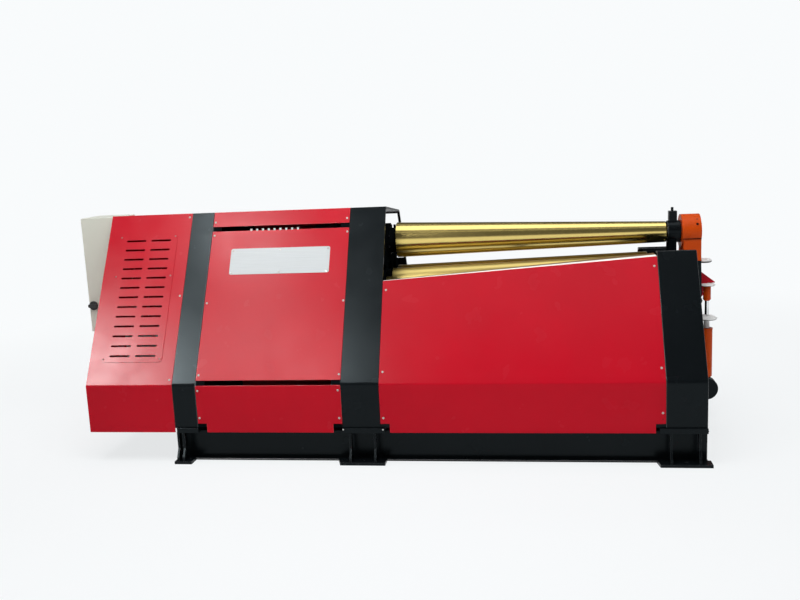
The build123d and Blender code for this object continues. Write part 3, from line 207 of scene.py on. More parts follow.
class Term:
    """One socket of a node tree; arithmetic on it adds Math nodes."""

    def __init__(self, tree, socket):
        self.tree = tree
        self.socket = socket

    def math(self, operation, first, second):
        node = self.tree.nodes.new("ShaderNodeMath")
        node.operation = operation
        plug(self.tree, node.inputs[0], first)
        plug(self.tree, node.inputs[1], second)
        return Term(self.tree, node.outputs[0])

    def __add__(self, other):
        return self.math("ADD", self, other)

    __radd__ = __add__

    def __sub__(self, other):
        return self.math("SUBTRACT", self, other)

    def __rsub__(self, other):
        return self.math("SUBTRACT", other, self)

    def __mul__(self, other):
        return self.math("MULTIPLY", self, other)

    __rmul__ = __mul__

    def __pow__(self, other):
        return self.math("POWER", self, other)

    def most(self, other):
        """The greater of two values."""
        return self.math("MAXIMUM", self, other)

    def between(self, low, high):
        """Rises smoothly from 0 at low to 1 at high."""
        node = self.tree.nodes.new("ShaderNodeMapRange")
        node.interpolation_type = "SMOOTHSTEP"
        for place, value in zip(node.inputs, (self, low, high, 0.0, 1.0)):
            plug(self.tree, place, value)
        return Term(self.tree, node.outputs[0])


def plug(tree, socket, value):
    """Sets a socket, or links it where the value is a term or another socket."""
    source = value.socket if isinstance(value, Term) else value
    if isinstance(source, bpy.types.NodeSocket):
        tree.links.new(source, socket)
    elif source is not None:
        socket.default_value = source


class Nodes:
    """A node tree with short ways to add nodes."""

    def __init__(self, tree):
        self.tree = tree

    def add(self, kind, settings=None, sockets=None, out=0):
        """Adds a node: its settings first, then its sockets by name or number."""
        node = self.tree.nodes.new(kind)
        for key, value in (settings or {}).items():
            setattr(node, key, value)
        for key, value in (sockets or {}).items():
            plug(self.tree, node.inputs[key], value)
        return Term(self.tree, node.outputs[out])

    def place(self):
        """Object coordinates."""
        return self.add("ShaderNodeTexCoord", out="Object")

    def stretched(self, where, scale):
        """Coordinates scaled on each axis."""
        return self.add("ShaderNodeMapping", {"vector_type": "POINT"}, {"Vector": where, "Scale": scale})

    def axes(self, where):
        """The three coordinates apart."""
        node = self.tree.nodes.new("ShaderNodeSeparateXYZ")
        plug(self.tree, node.inputs[0], where)
        return [Term(self.tree, out) for out in node.outputs]

    def noise(self, where, scale=1.0, detail=2.0, roughness=0.5):
        return self.add("ShaderNodeTexNoise", None,
                        {"Vector": where, "Scale": scale, "Detail": detail, "Roughness": roughness}, "Fac")

    def mix(self, factor, first, second):
        """Colour between two colours, which the Mix node has as sockets 6 and 7 and gives out as 2."""
        sockets = {0: factor, 6: rgba(first), 7: rgba(second)}
        return self.add("ShaderNodeMix", {"data_type": "RGBA"}, sockets, 2)

    def shown(self, gloss):
        """Where the pale background shows: to the camera, through glass, and in the gloss by a share."""
        camera = self.add("ShaderNodeLightPath", out="Is Camera Ray")
        glint = self.add("ShaderNodeLightPath", out="Is Glossy Ray") * gloss
        through = self.add("ShaderNodeLightPath", out="Is Transmission Ray")
        return camera.most(glint).most(through)


def rgba(value):
    """A colour with its opacity; a term stays as it is."""
    if isinstance(value, Term):
        return value
    return (value[0], value[1], value[2], 1.0)


def scaled(value, factor):
    """A colour made darker or lighter, below white."""
    return tuple(min(part * factor, 1.0) for part in value)


FINISH = {}


class Finish(Nodes):
    """One material, which FINISH keeps under its name."""

    def __init__(self, name, **constants):
        self.material = bpy.data.materials.new(name)
        self.material.use_nodes = True
        super().__init__(self.material.node_tree)
        self.surface = self.tree.nodes["Principled BSDF"]
        for key, value in constants.items():
            self.set(key.replace("_", " "), value)
        FINISH[name] = self.material

    def set(self, socket, value):
        plug(self.tree, self.surface.inputs[socket], value)

    def shade(self, base, drift, dark, light):
        """A colour that drifts between a darker and a lighter shade of its base."""
        self.set("Base Color", self.mix(drift, scaled(base, dark), scaled(base, light)))

    def rough(self, level, drift, spread):
        """A roughness that drifts around its level."""
        self.set("Roughness", level + (drift - 0.5) * spread)

    def grain(self, height, strength, distance):
        """A fine relief of the surface."""
        sockets = {"Height": height, "Strength": strength, "Distance": distance}
        self.set("Normal", self.add("ShaderNodeBump", None, sockets))


def painted(name, base, roughness, gloss, cloud, peel, sheen=(1.0, 1.0, 1.0)):
    """Sprayed paint with a cloudy shade and orange peel; sheen is the tint of its gloss."""
    finish = Finish(name, Specular_IOR_Level=gloss, Specular_Tint=rgba(sheen))
    where = finish.place()
    clouds = finish.noise(where, scale=1.3, detail=3.0, roughness=0.55)
    bumps = finish.noise(where, scale=420.0) + finish.noise(where, scale=90.0, detail=1.0) * 0.6
    finish.shade(base, clouds.between(0.3, 0.7), dark=1.0 - cloud, light=1.0 + cloud)
    finish.rough(roughness, finish.noise(where, scale=7.0, detail=3.0), spread=0.16)
    finish.grain(bumps, peel, distance=0.0006)


def rolled_steel(name, base, roughness):
    """Ground rolls: fine turning rings, an oily tint that drifts and faint runs along the roll."""
    finish = Finish(name, Metallic=1.0)
    where = finish.place()
    rings = finish.noise(finish.stretched(where, (260.0, 0.4, 0.4)), detail=3.0, roughness=0.6)
    bands = finish.noise(finish.stretched(where, (11.0, 0.6, 0.6)))
    smear = finish.noise(finish.stretched(where, (1.4, 9.0, 9.0)), detail=3.0)
    tint = finish.mix(smear.between(0.3, 0.72), scaled(base, 0.95), scaled(base, 1.05))
    finish.set("Base Color", finish.mix(bands.between(0.45, 0.75) * 0.12, tint, scaled(base, 0.88)))
    finish.rough(roughness + (rings - 0.5) * 0.08, smear, spread=0.05)
    finish.grain(rings, strength=0.012, distance=0.0002)


def turned_metal(name, base, roughness, marking=0.08):
    """Machined metal with fine tool marks."""
    finish = Finish(name, Metallic=1.0)
    where = finish.place()
    marks = finish.noise(where, scale=160.0, detail=3.0, roughness=0.6)
    patches = finish.noise(where, scale=12.0, detail=3.0)
    finish.shade(base, patches.between(0.3, 0.7), dark=0.85, light=1.12)
    finish.rough(roughness, marks, spread=0.18)
    finish.grain(marks, marking, distance=0.0002)


def brushed_plate(name, base, roughness):
    """Plated or anodised metal with fine brush marks along it."""
    finish = Finish(name, Specular_IOR_Level=0.10)
    along = finish.stretched(finish.place(), (6.0, 900.0, 900.0))
    marks = finish.noise(along, detail=3.0, roughness=0.6)
    finish.shade(base, marks.between(0.3, 0.7), dark=0.93, light=1.05)
    finish.rough(roughness, marks, spread=0.12)
    finish.grain(marks, strength=0.05, distance=0.0002)


def rim_highlight_and_shade(name, base, shade_colour):
    """Tops of the long panels: a painted highlight along the outer edge and painted shade further in."""
    finish = Finish(name, Specular_IOR_Level=0.10, Roughness=0.34)
    x, y = finish.axes(finish.place())[:2]
    slant = 0.072
    inner, outer = 0.4740, 0.4886
    highlit = ((y * y) ** 0.5 + x * slant).between(inner, outer)
    finish.set("Base Color", finish.mix(highlit, shade_colour, base))


def moulded(name, base, roughness):
    """Dull plastic with a fine grain."""
    finish = Finish(name, Specular_IOR_Level=0.35)
    where = finish.place()
    pores = finish.noise(where, scale=700.0)
    finish.shade(base, finish.noise(where, scale=30.0), dark=0.8, light=1.25)
    finish.rough(roughness, pores, spread=0.2)
    finish.grain(pores, strength=0.12, distance=0.0003)


def cast_iron(name, base, roughness):
    """Painted casting with a sand-cast skin."""
    finish = Finish(name, Specular_IOR_Level=0.35)
    where = finish.place()
    sand = finish.noise(where, scale=260.0, detail=4.0, roughness=0.65)
    finish.shade(base, finish.noise(where, scale=6.0, detail=3.0), dark=0.8, light=1.2)
    finish.rough(roughness, sand, spread=0.2)
    finish.grain(sand, strength=0.28, distance=0.0006)


def make_finishes():
    """Every finish of the machine; those of a slot bear the slot's name."""
    look = bpy.context.scene.plate_roll_finish
    paint = look.paint_roughness
    ground = look.roll_roughness
    painted("red_paint", look.red, paint, gloss=0.09, cloud=0.05, peel=0.05)
    painted("black_paint", look.black, paint, gloss=0.125, cloud=0.16, peel=0.08, sheen=(0.80, 0.95, 1.0))
    # Lighter red of the sheets' edges and upward faces: a painted highlight; its extra gloss is real
    painted("red_edge_highlight", look.red_edge_highlight, roughness=0.16, gloss=0.50, cloud=0.05, peel=0.05)
    # A darker red: painted shade on the vent panel's rims and slot edges
    painted("red_painted_shade", scaled(look.red, 0.40), paint, gloss=0.055, cloud=0.05, peel=0.05)
    # Lighter black of the plates' broken edges: a painted highlight
    painted("black_edge_highlight", look.black_edge_highlight, paint, gloss=0.40, cloud=0.20, peel=0.10)
    # Lighter black of the base rails' lower edges: a painted highlight
    painted("rail_edge_highlight", look.rail_edge_highlight, paint, gloss=0.40, cloud=0.20, peel=0.10)
    painted("dull_red", look.red, roughness=0.60, gloss=0.0, cloud=0.05, peel=0.05)
    painted("dull_black", look.black, roughness=0.70, gloss=0.0, cloud=0.20, peel=0.30)
    painted("orange_paint", look.orange, paint + 0.04, gloss=0.12, cloud=0.06, peel=0.08)
    painted("grey_paint", look.grey, paint + 0.10, gloss=0.35, cloud=0.05, peel=0.12)
    rolled_steel("roll_steel", look.steel, ground)
    # Darker, rougher copy of the roll steel for the lower rolls: the darker colour is painted shade
    rolled_steel("rough_shaded_roll_steel", scaled(look.steel, 0.72), ground + 0.12)
    turned_metal("machined_steel", look.machined, roughness=0.34)
    turned_metal("chromed_rod", look.chrome, roughness=0.14, marking=0.03)
    turned_metal("bronze", look.bronze, roughness=0.32)
    # Blackened screws, and the painted shade under the drop-end's discs and in the spare hole
    turned_metal("blackened_screws_and_shade", look.screw, roughness=0.36)
    brushed_plate("plate_aluminium", look.plate, roughness=0.38)
    # Bright zinc for the studs, and the painted highlight on the drop-end's discs
    brushed_plate("bright_zinc_and_highlight", look.bright, roughness=0.34)
    brushed_plate("zinc_screws", look.zinc, roughness=0.46)
    brushed_plate("vent_screws", look.vent_screw, roughness=0.46)
    # Painted highlight on the rims' outer edge, painted shade on their inner half
    rim_highlight_and_shade("rim_highlight_and_shade", look.bright, look.rim_shade)
    cast_iron("cast_housing", look.casting, roughness=0.52)
    moulded("black_plastic", look.plastic, roughness=0.48)


def put(name, data):
    """A new object in the scene."""
    made = bpy.data.objects.new(name, data)
    bpy.context.scene.collection.objects.link(made)
    return made


def piece(name, mesh, body, slot, finish=None):
    """Puts a mesh in the scene as a piece of the machine."""
    made = put(name, mesh)
    if not mesh.materials:
        mesh.materials.append(FINISH[finish or slot])
    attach(made, body)
    return made


def repaint(*nodes, finish=None):
    """Gives solids that keep their own shape a finish, which is that of their slot where none is named."""
    for node in nodes:
        frame["nodes"][node].material_slots[0].material = FINISH[finish or SLOT[node]]


def baked(holder):
    """The plain mesh of an object with its modifiers; the object goes."""
    graph = bpy.context.evaluated_depsgraph_get()
    mesh = bpy.data.meshes.new_from_object(holder.evaluated_get(graph))
    bpy.data.objects.remove(holder)
    return mesh


# The edges of a skin by the angle between their faces: flat, a facet of a round face, a fold or a corner
FLAT_ANGLE = radians(0.5)
FACET_ANGLE = radians(14.0)
FOLD_ANGLE = radians(52.0)
CORNER_ANGLE = radians(58.0)
FOLD_LENGTH = 0.1
FOLD_STEPS = 5
EDGE_STEPS = 2

# Faces that shade as one on skins and on fasteners, and normals' heights of faces that look up or down
SMOOTH_ANGLE = radians(50.0)
HEAD_ANGLE = radians(35.0)
LOOKS_UP = 0.97
LOOKS_DOWN = -0.2

# Points closer than this are one point
WELD = 1e-5


def corner_normal(face, corner, flat):
    """The way a round face looks at a corner: as the flat faces it runs into, or as its round neighbours."""
    near = [other for other in corner.link_faces if other.normal.dot(face.normal) > cos(SMOOTH_ANGLE)]
    broad = [other for other in near if other[flat]]
    total = Vector()
    for other in broad or near:
        total += other.normal * other.calc_area()
    return total.normalized()


def evened(name, skin, finishes):
    """A mesh whose broad faces stay flat in the light and whose rounded edges run smooth."""
    skin.normal_update()
    flat = skin.faces.layers.int["flat"]
    normals = [face.normal.copy() if face[flat] else corner_normal(face, loop.vert, flat)
               for face in skin.faces for loop in face.loops]
    mesh = bpy.data.meshes.new(name)
    for finish in finishes:
        mesh.materials.append(FINISH[finish])
    skin.to_mesh(mesh)
    skin.free()
    mesh.shade_smooth()
    mesh.normals_split_custom_set(normals)
    return mesh


def bends_slightly(line):
    """Whether an edge lies between two facets of a round face."""
    return len(line.link_faces) == 2 and FLAT_ANGLE < line.calc_face_angle() < FACET_ANGLE


def merged(node):
    """A solid's skin in one piece, without splits across its flat faces, which are marked."""
    skin = bmesh.new()
    skin.from_mesh(frame["nodes"][node].data)
    bmesh.ops.remove_doubles(skin, verts=skin.verts, dist=WELD)
    bmesh.ops.dissolve_limit(skin, angle_limit=FLAT_ANGLE, verts=skin.verts, edges=skin.edges)
    flat = skin.faces.layers.int.new("flat")
    for face in skin.faces:
        face[flat] = not any(bends_slightly(line) for line in face.edges)
    return skin


def bevelled(skin, edges, radius, steps):
    """Rounds edges off; the new faces along them, which are given back, count as round."""
    if not edges or radius <= 0.0:
        return []
    made = bmesh.ops.bevel(skin, geom=edges, offset=radius, offset_type="OFFSET", segments=steps,
                           profile=0.5, clamp_overlap=True, affect="EDGES")
    flat = skin.faces.layers.int["flat"]
    for face in made["faces"]:
        face[flat] = 0
    return made["faces"]


def past(axis, place, side, finish):
    """The plane past which, on side 1 or -1 of a place on an axis, a solid has another finish."""
    point, way = Vector(), Vector()
    point[axis] = place
    way[axis] = -side
    return point, way, finish


def faces_behind(skin, place, way):
    """Cuts the skin with a plane that faces one way and gives the faces behind it."""
    cut = list(skin.verts) + list(skin.edges) + list(skin.faces)
    bmesh.ops.bisect_plane(skin, geom=cut, dist=WELD, plane_co=place, plane_no=way)
    return [face for face in skin.faces if (face.calc_center_median() - place).dot(way) < 0.0]


def rounded(node, fold, edge, finish=None, rims=None, tops=None, rise=LOOKS_UP, behind=None):
    """A copy of a solid with bent folds and broken edges, in place of it.

    rims is the finish of the broken edges that don't look down, tops that of faces that look up
    at least by rise, and behind a plane's place, the way it faces and the finish behind it.
    """
    skin = merged(node)
    bends = [line for line in skin.edges if len(line.link_faces) == 2 and line.calc_length() > FOLD_LENGTH
             and FACET_ANGLE < line.calc_face_angle() < FOLD_ANGLE]
    bevelled(skin, bends, fold, FOLD_STEPS)
    corners = [line for line in skin.edges if len(line.link_faces) == 2 and line.is_convex
               and line.calc_face_angle() > CORNER_ANGLE]
    broken = bevelled(skin, corners, edge, EDGE_STEPS)
    finishes = [finish or SLOT[node]]
    for face in skin.faces:
        face.material_index = 0
    place, way, other_side = behind or (None, None, None)
    back = faces_behind(skin, place, way) if behind else []
    special = (
        (rims, [face for face in broken if face.is_valid and face.normal.z > LOOKS_DOWN]),
        (tops, [face for face in skin.faces if face.normal.z > rise]),
        (other_side, back),
    )
    for other, faces in special:
        if other:
            finishes.append(other)
            for face in faces:
                face.material_index = len(finishes) - 1
    mesh = evened(node + "_dressed", skin, finishes)
    made = piece(node + "_dressed", mesh, BODY[node], SLOT[node])
    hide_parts(node)
    return made


def head_tree():
    """A tree that sets a turned head with a recess on every marked spot."""
    tree = bpy.data.node_groups.new("fastener_heads", "GeometryNodeTree")
    tree.interface.new_socket("Fasteners", in_out="OUTPUT", socket_type="NodeSocketGeometry")
    tree.interface.new_socket("Spots", in_out="INPUT", socket_type="NodeSocketGeometry")
    for label in ("Head radius", "Head height", "Crown", "Recess", "Recess depth"):
        tree.interface.new_socket(label, in_out="INPUT", socket_type="NodeSocketFloat")
    tree.interface.new_socket("Head sides", in_out="INPUT", socket_type="NodeSocketInt")
    tree.interface.new_socket("Finish", in_out="INPUT", socket_type="NodeSocketMaterial")
    given = tree.nodes.new("NodeGroupInput").outputs
    heads = Nodes(tree)

    def step(mesh, top, rise, shrink):
        """Raises the top face, which is all of it where none is named, and then draws it in."""
        sockets = {"Mesh": mesh, "Selection": top, "Offset": upward, "Offset Scale": rise,
                   "Individual": False}
        raised = heads.add("GeometryNodeExtrudeMesh", {"mode": "FACES"}, sockets, "Mesh")
        lifted = raised.socket.node.outputs["Top"]
        sockets = {"Geometry": raised, "Selection": lifted, "Scale": shrink}
        return heads.add("GeometryNodeScaleElements", {"domain": "FACE"}, sockets, "Geometry"), lifted

    upward = heads.add("ShaderNodeCombineXYZ", None, {"Z": 1.0}, "Vector")
    sockets = {"Vertices": given["Head sides"], "Radius": given["Head radius"]}
    disc = heads.add("GeometryNodeMeshCircle", {"fill_type": "NGON"}, sockets, "Mesh")
    height = Term(tree, given["Head height"])
    depth = Term(tree, given["Recess depth"])
    straight = 0.55
    taper = 0.96
    side, top = step(disc, None, height * straight, 1.0)
    crown, top = step(side, top, height * (1.0 - straight), given["Crown"])
    rim, top = step(crown, top, 0.0, given["Recess"])
    head, top = step(rim, top, depth * -1.0, taper)
    sockets = {"Name": "facing"}
    facing = heads.add("GeometryNodeInputNamedAttribute", {"data_type": "FLOAT_VECTOR"}, sockets, "Attribute")
    turn = heads.add("FunctionNodeAlignRotationToVector", {"axis": "Z"}, {"Vector": facing}, "Rotation")
    sockets = {"Points": given["Spots"], "Instance": head, "Rotation": turn}
    spread = heads.add("GeometryNodeInstanceOnPoints", None, sockets, "Instances")
    real = heads.add("GeometryNodeRealizeInstances", None, {"Geometry": spread}, "Geometry")
    sockets = {"Geometry": real, "Material": given["Finish"]}
    done = heads.add("GeometryNodeSetMaterial", None, sockets, "Geometry")
    plug(tree, tree.nodes.new("NodeGroupOutput").inputs[0], done)
    return tree


def identifier(tree, label):
    """The key under which a modifier holds the tree's input of that name."""
    for item in tree.interface.items_tree:
        if item.item_type == "SOCKET" and item.in_out == "INPUT" and item.name == label:
            return item.identifier
    raise KeyError(label)


def fasten(name, spots, node, finish, radius, height, crown=0.72, recess=0.5, depth=0.0012, sides=None):
    """One group of like fasteners on a solid: each spot is a place and the way its head faces."""
    points = bpy.data.meshes.new(name + "_spots")
    points.from_pydata([spot for spot, out in spots], [], [])
    facing = points.attributes.new("facing", "FLOAT_VECTOR", "POINT")
    for item, (spot, out) in zip(facing.data, spots):
        item.vector = out
    holder = put(name + "_spots", points)
    tree = bpy.data.node_groups.get("fastener_heads") or head_tree()
    modifier = holder.modifiers.new("heads", "NODES")
    modifier.node_group = tree
    sizes = {"Head radius": radius, "Head height": height, "Crown": crown, "Recess": recess,
             "Recess depth": depth, "Head sides": sides or bpy.context.scene.plate_roll_fastener.sides,
             "Finish": FINISH[finish]}
    for label, value in sizes.items():
        modifier[identifier(tree, label)] = value
    mesh = baked(holder)
    if len(mesh.polygons) == 0:
        raise RuntimeError("no fasteners were made for " + name)
    skin = bmesh.new()
    skin.from_mesh(mesh)
    bmesh.ops.recalc_face_normals(skin, faces=skin.faces)
    skin.to_mesh(mesh)
    skin.free()
    mesh.name = name
    mesh.shade_smooth()
    mesh.set_sharp_from_angle(angle=HEAD_ANGLE)
    piece(name, mesh, BODY[node], "machined_steel")


def leaning(x, height, node):
    """A place on the leaning front of a skin piece, and the way that front looks."""
    skin = bpy.context.scene.plate_roll_skin
    run = skin.fold_depth - skin.top_depth
    rise = skin.top_height - skin.fold_height
    slope = hypot(run, rise)
    out = Vector((0.0, -rise / slope, run / slope))
    origin = Vector((0.0, -skin.fold_depth, skin.fold_height))
    proud = max((corner.co - origin).dot(out) for corner in frame["nodes"][node].data.vertices)
    depth = skin.fold_depth - (height - skin.fold_height) * run / rise
    return Vector((x, -depth, height)) + out * proud, out


def upright(x, height, node):
    """A place on the upright front of a skin piece, and the way that front looks."""
    return Vector((x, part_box(node)[0].y, height)), Vector((0.0, -1.0, 0.0))


def grid(front, node, columns, rows):
    """Spots in columns and rows on one front of a skin piece, which leaning or upright finds."""
    return [front(x, height, node) for x in columns for height in rows]


def top_axis():
    """Height of the top roll's axis."""
    low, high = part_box("top_roll")
    return (low.z + high.z) / 2.0


def ring(centre, axis, radius, count, start):
    """Spots around a bolt circle that all face along its axis."""
    axis = Vector(axis).normalized()
    across = axis.orthogonal().normalized()
    over = axis.cross(across)
    turns = [start + 2.0 * pi * number / count for number in range(count)]
    return [(Vector(centre) + radius * (cos(turn) * across + sin(turn) * over), axis) for turn in turns]


def beads(name, lines, radius, node, finish):
    """Thin straight beads on a solid, each between two places."""
    skin = bmesh.new()
    for start, end in lines:
        along = Vector(end) - Vector(start)
        middle = Matrix.Translation((Vector(start) + Vector(end)) / 2.0)
        turn = along.to_track_quat("Z", "Y").to_matrix().to_4x4()
        bmesh.ops.create_cone(skin, cap_ends=True, segments=8, radius1=radius, radius2=radius,
                              depth=along.length, matrix=middle @ turn)
    mesh = bpy.data.meshes.new(name)
    skin.to_mesh(mesh)
    skin.free()
    mesh.shade_smooth()
    mesh.set_sharp_from_angle(angle=SMOOTH_ANGLE)
    piece(name, mesh, BODY[node], SLOT[node], finish)


class PLATE_ROLL_OT_finishes(bpy.types.Operator):
    """Mixes the paints, metals and plastics of the machine"""
    bl_idname = "plate_roll.finishes"
    bl_label = "Finishes"

    def execute(self, context):
        make_finishes()
        return {"FINISHED"}


class PLATE_ROLL_OT_sheet_covers(bpy.types.Operator):
    """Red cover sheets with bent folds and broken edges"""
    bl_idname = "plate_roll.sheet_covers"
    bl_label = "Sheet covers"

    def execute(self, context):
        skin = context.scene.plate_roll_skin
        fold, edge = skin.sheet_fold, skin.sheet_edge
        for node in ("end_cover_front", "drive_top_strip", "drive_front_panel", "drive_lower_panels"):
            # Rims and upward faces of these sheets take a lighter red as painted highlight
            rounded(node, fold, edge, rims="red_edge_highlight", tops="red_edge_highlight")
        # The vent panel's rims and slot edges take a darker red as painted shade
        rounded("vent_panel", fold, skin.vent_edge, rims="red_painted_shade")
        for node in ("rear_cover_sheets", "end_cover_plate", "roll_panel_rear"):
            # Rims of these sheets take a lighter red as painted highlight
            rounded(node, fold, edge, rims="red_edge_highlight")
        rounded("roof_sheets", fold, edge, finish="dull_red")
        # The long front panel's top takes a painted highlight outside and painted shade inside
        rounded("roll_panel_front", fold, edge, rims="red_edge_highlight", tops="rim_highlight_and_shade")
        tray = rounded("end_cover_floor", fold, edge)
        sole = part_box("stand_sole_plates")[0].x
        near = 0.003
        for corner in tray.data.vertices:
            if abs(corner.co.x + skin.tray_gap - sole) < near:
                corner.co.x = sole
        return {"FINISHED"}


class PLATE_ROLL_OT_base_and_portals(bpy.types.Operator):
    """Black portals, rails, sole plates and feet"""
    bl_idname = "plate_roll.base_and_portals"
    bl_label = "Base and portals"

    def execute(self, context):
        skin = context.scene.plate_roll_skin
        fold, edge = skin.plate_fold, skin.plate_edge
        panel_low, panel_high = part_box("drive_front_panel")
        covered = {
            "left_hoop": past(X, panel_low.x + skin.panel_lap, 1, "dull_black"),
            "middle_hoop": past(X, panel_high.x, -1, "dull_black"),
            "right_legs": None,
        }
        # Broken edges of the portals and feet take a lighter black as painted highlight
        for node, behind in covered.items():
            rounded(node, fold, edge, rims="black_edge_highlight", tops="dull_black", behind=behind)
        rounded("anchor_feet", fold, edge, rims="black_edge_highlight")
        rounded("stand_sole_plates", fold, edge)
        # Rails' rims below that height take a lighter black as painted highlight; above it, plain black paint
        plain_above = past(Z, skin.rail_highlight_height, 1, "black_paint")
        rounded("base_rails", 0.0, skin.rail_round, rims="rail_edge_highlight", behind=plain_above)
        repaint("base_cross_members")
        bolt = context.scene.plate_roll_fastener.ledge_bolt
        spots = grid(upright, "stand_sole_plates", columns=(-0.470, -0.2425), rows=(0.207,))
        fasten("ledge_bolts", spots, "stand_sole_plates", "zinc_screws", bolt, bolt * 0.7,
               crown=0.9, recess=0.8, depth=0.0003, sides=6)
        return {"FINISHED"}


class PLATE_ROLL_OT_rolls(bpy.types.Operator):
    """Four ground rolls with their oily tint; the lower three take a darker copy of the steel as painted
    shade
    """
    bl_idname = "plate_roll.rolls"
    bl_label = "Rolls"

    def execute(self, context):
        repaint("top_roll")
        # Lower rolls: a darker steel as painted shade
        repaint("bottom_roll", "front_side_roll", "rear_side_roll", finish="rough_shaded_roll_steel")
        return {"FINISHED"}


class PLATE_ROLL_OT_stands(bpy.types.Operator):
    """Roll stands with their bearings, chocks and lift cylinders"""
    bl_idname = "plate_roll.stands"
    bl_label = "Stands"

    def execute(self, context):
        skin = context.scene.plate_roll_skin
        for node in ("roll_stand_left", "roll_stand_right"):
            rounded(node, 0.0, skin.plate_edge, finish="dull_black")
        repaint("top_roll_bearing", "bottom_roll_chocks", "front_roll_chocks", "rear_roll_chocks",
                finish="dull_black")
        repaint("stand_tie_bars", "lift_cylinder_barrels", "bottom_lift_rods", "front_lift_rods",
                "rear_lift_rods")
        sizes = context.scene.plate_roll_fastener
        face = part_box("roll_stand_left")[1].x + skin.flange
        spots = ring((face, 0.0, top_axis()), (1.0, 0.0, 0.0), sizes.bolt_circle, count=8, start=pi / 8)
        fasten("bearing_screws", spots, "top_roll_bearing", "blackened_screws_and_shade", sizes.cap_screw * 0.75,
               sizes.cap_screw)
        return {"FINISHED"}


class PLATE_ROLL_OT_drives(bpy.types.Operator):
    """Gearboxes, motors, the hydraulic power pack and the studs that show above the drive panel"""
    bl_idname = "plate_roll.drives"
    bl_label = "Drives"

    def execute(self, context):
        sizes = context.scene.plate_roll_fastener
        first_x, y, z = -1.085, -0.336, 1.299
        up = (0.0, 0.0, 1.0)
        spots = [((first_x + sizes.stud_pitch * number, y, z), up) for number in range(sizes.stud_count)]
        fasten("panel_studs", spots, "drive_front_panel", "bright_zinc_and_highlight", sizes.panel_stud,
               sizes.stud_height, crown=0.9, depth=0.0004)
        repaint("top_gearbox", "top_drive_motor", "bottom_gearbox", "bottom_drive_motor", "hydraulic_tank",
                "pump_set", "valve_block", "oil_cooler")
        return {"FINISHED"}


class PLATE_ROLL_OT_drop_end(bpy.types.Operator):
    """Drop-end housing, lever and tilting cylinder"""
    bl_idname = "plate_roll.drop_end"
    bl_label = "Drop-end"

    def execute(self, context):
        skin = context.scene.plate_roll_skin
        edge = skin.small_edge
        for node in ("drop_end_lever", "drop_end_brackets", "rod_clevis", "drop_cylinder_foot"):
            rounded(node, 0.0, edge)
        # The sleeve's broken edges take a lighter black as painted highlight
        rounded("neck_sleeve", 0.0, edge, rims="black_edge_highlight")
        rounded("drop_end_housing", 0.0, edge, behind=past(Z, skin.arm_end, -1, "black_paint"))
        # Clevis guard, strut disc and gland: upper faces painted bright as highlight, lower faces painted
        # dark as shade
        rounded("clevis_hardware", 0.0, edge, "blackened_screws_and_shade", tops="bright_zinc_and_highlight", rise=LOOKS_DOWN,
                behind=past(Z, skin.guard_height, -1, "orange_paint"))
        rounded("lever_strut", 0.0, edge, "bright_zinc_and_highlight",
                behind=past(Z, skin.disc_height, -1, "blackened_screws_and_shade"))
        rounded("drop_cylinder_gland", 0.0, edge, "blackened_screws_and_shade", tops="bright_zinc_and_highlight", rise=LOOKS_DOWN)
        sizes = context.scene.plate_roll_fastener
        axis = Vector((0.0, 0.0, top_axis()))
        for name, spot, radius in (("ring_pin", (1.5748, -0.0694, 1.2591), sizes.ring_screw * 0.5),
                                   ("ring_screw", (1.5742, -0.0910, 1.2313), sizes.ring_screw)):
            out = (Vector(spot) - axis) * Vector((0.0, 1.0, 1.0))
            fasten(name, [(spot, out.normalized())], "drop_end_housing", "blackened_screws_and_shade", radius,
                   radius * 0.3, crown=0.95, recess=0.6, depth=radius * 0.2)
        low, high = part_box("drop_end_housing")
        seam = axis.z - (high.y ** 2 - skin.seam_depth ** 2) ** 0.5
        inset, hub_reach = 0.002, 0.006
        left, right = low.x + inset, high.x - hub_reach
        lines = [((left, depth, seam), (right, depth, seam)) for depth in (-skin.seam_depth, skin.seam_depth)]
        # A black bead along the joint: a painted shadow line under the ring
        beads("ring_seam_shadow", lines, skin.seam_radius, "drop_end_housing", "dull_black")
        repaint("drop_end_bush", "drop_end_pins", "drop_cylinder_barrel", "drop_cylinder_rod")
        return {"FINISHED"}


class PLATE_ROLL_OT_cabinet(bpy.types.Operator):
    """Electrical cabinet with its door"""
    bl_idname = "plate_roll.cabinet"
    bl_label = "Cabinet"

    def execute(self, context):
        skin = context.scene.plate_roll_skin
        for node in ("cabinet_body", "cabinet_door"):
            rounded(node, 0.0, skin.plate_edge)
        repaint("cabinet_backplate", "cabinet_hinges", "cabinet_handle")
        return {"FINISHED"}


class PLATE_ROLL_OT_nameplate(bpy.types.Operator):
    """Bare nameplate with its rivets"""
    bl_idname = "plate_roll.nameplate"
    bl_label = "Nameplate"

    def execute(self, context):
        rounded("nameplate", 0.0, context.scene.plate_roll_skin.foil_edge)
        rivet = context.scene.plate_roll_fastener.rivet
        spots = grid(leaning, "nameplate", columns=(-1.182, -0.891, -0.598), rows=(1.063, 1.1855))
        fasten("nameplate_rivets", spots, "nameplate", "machined_steel", rivet, rivet * 0.5,
               crown=0.6, depth=0.0003)
        return {"FINISHED"}


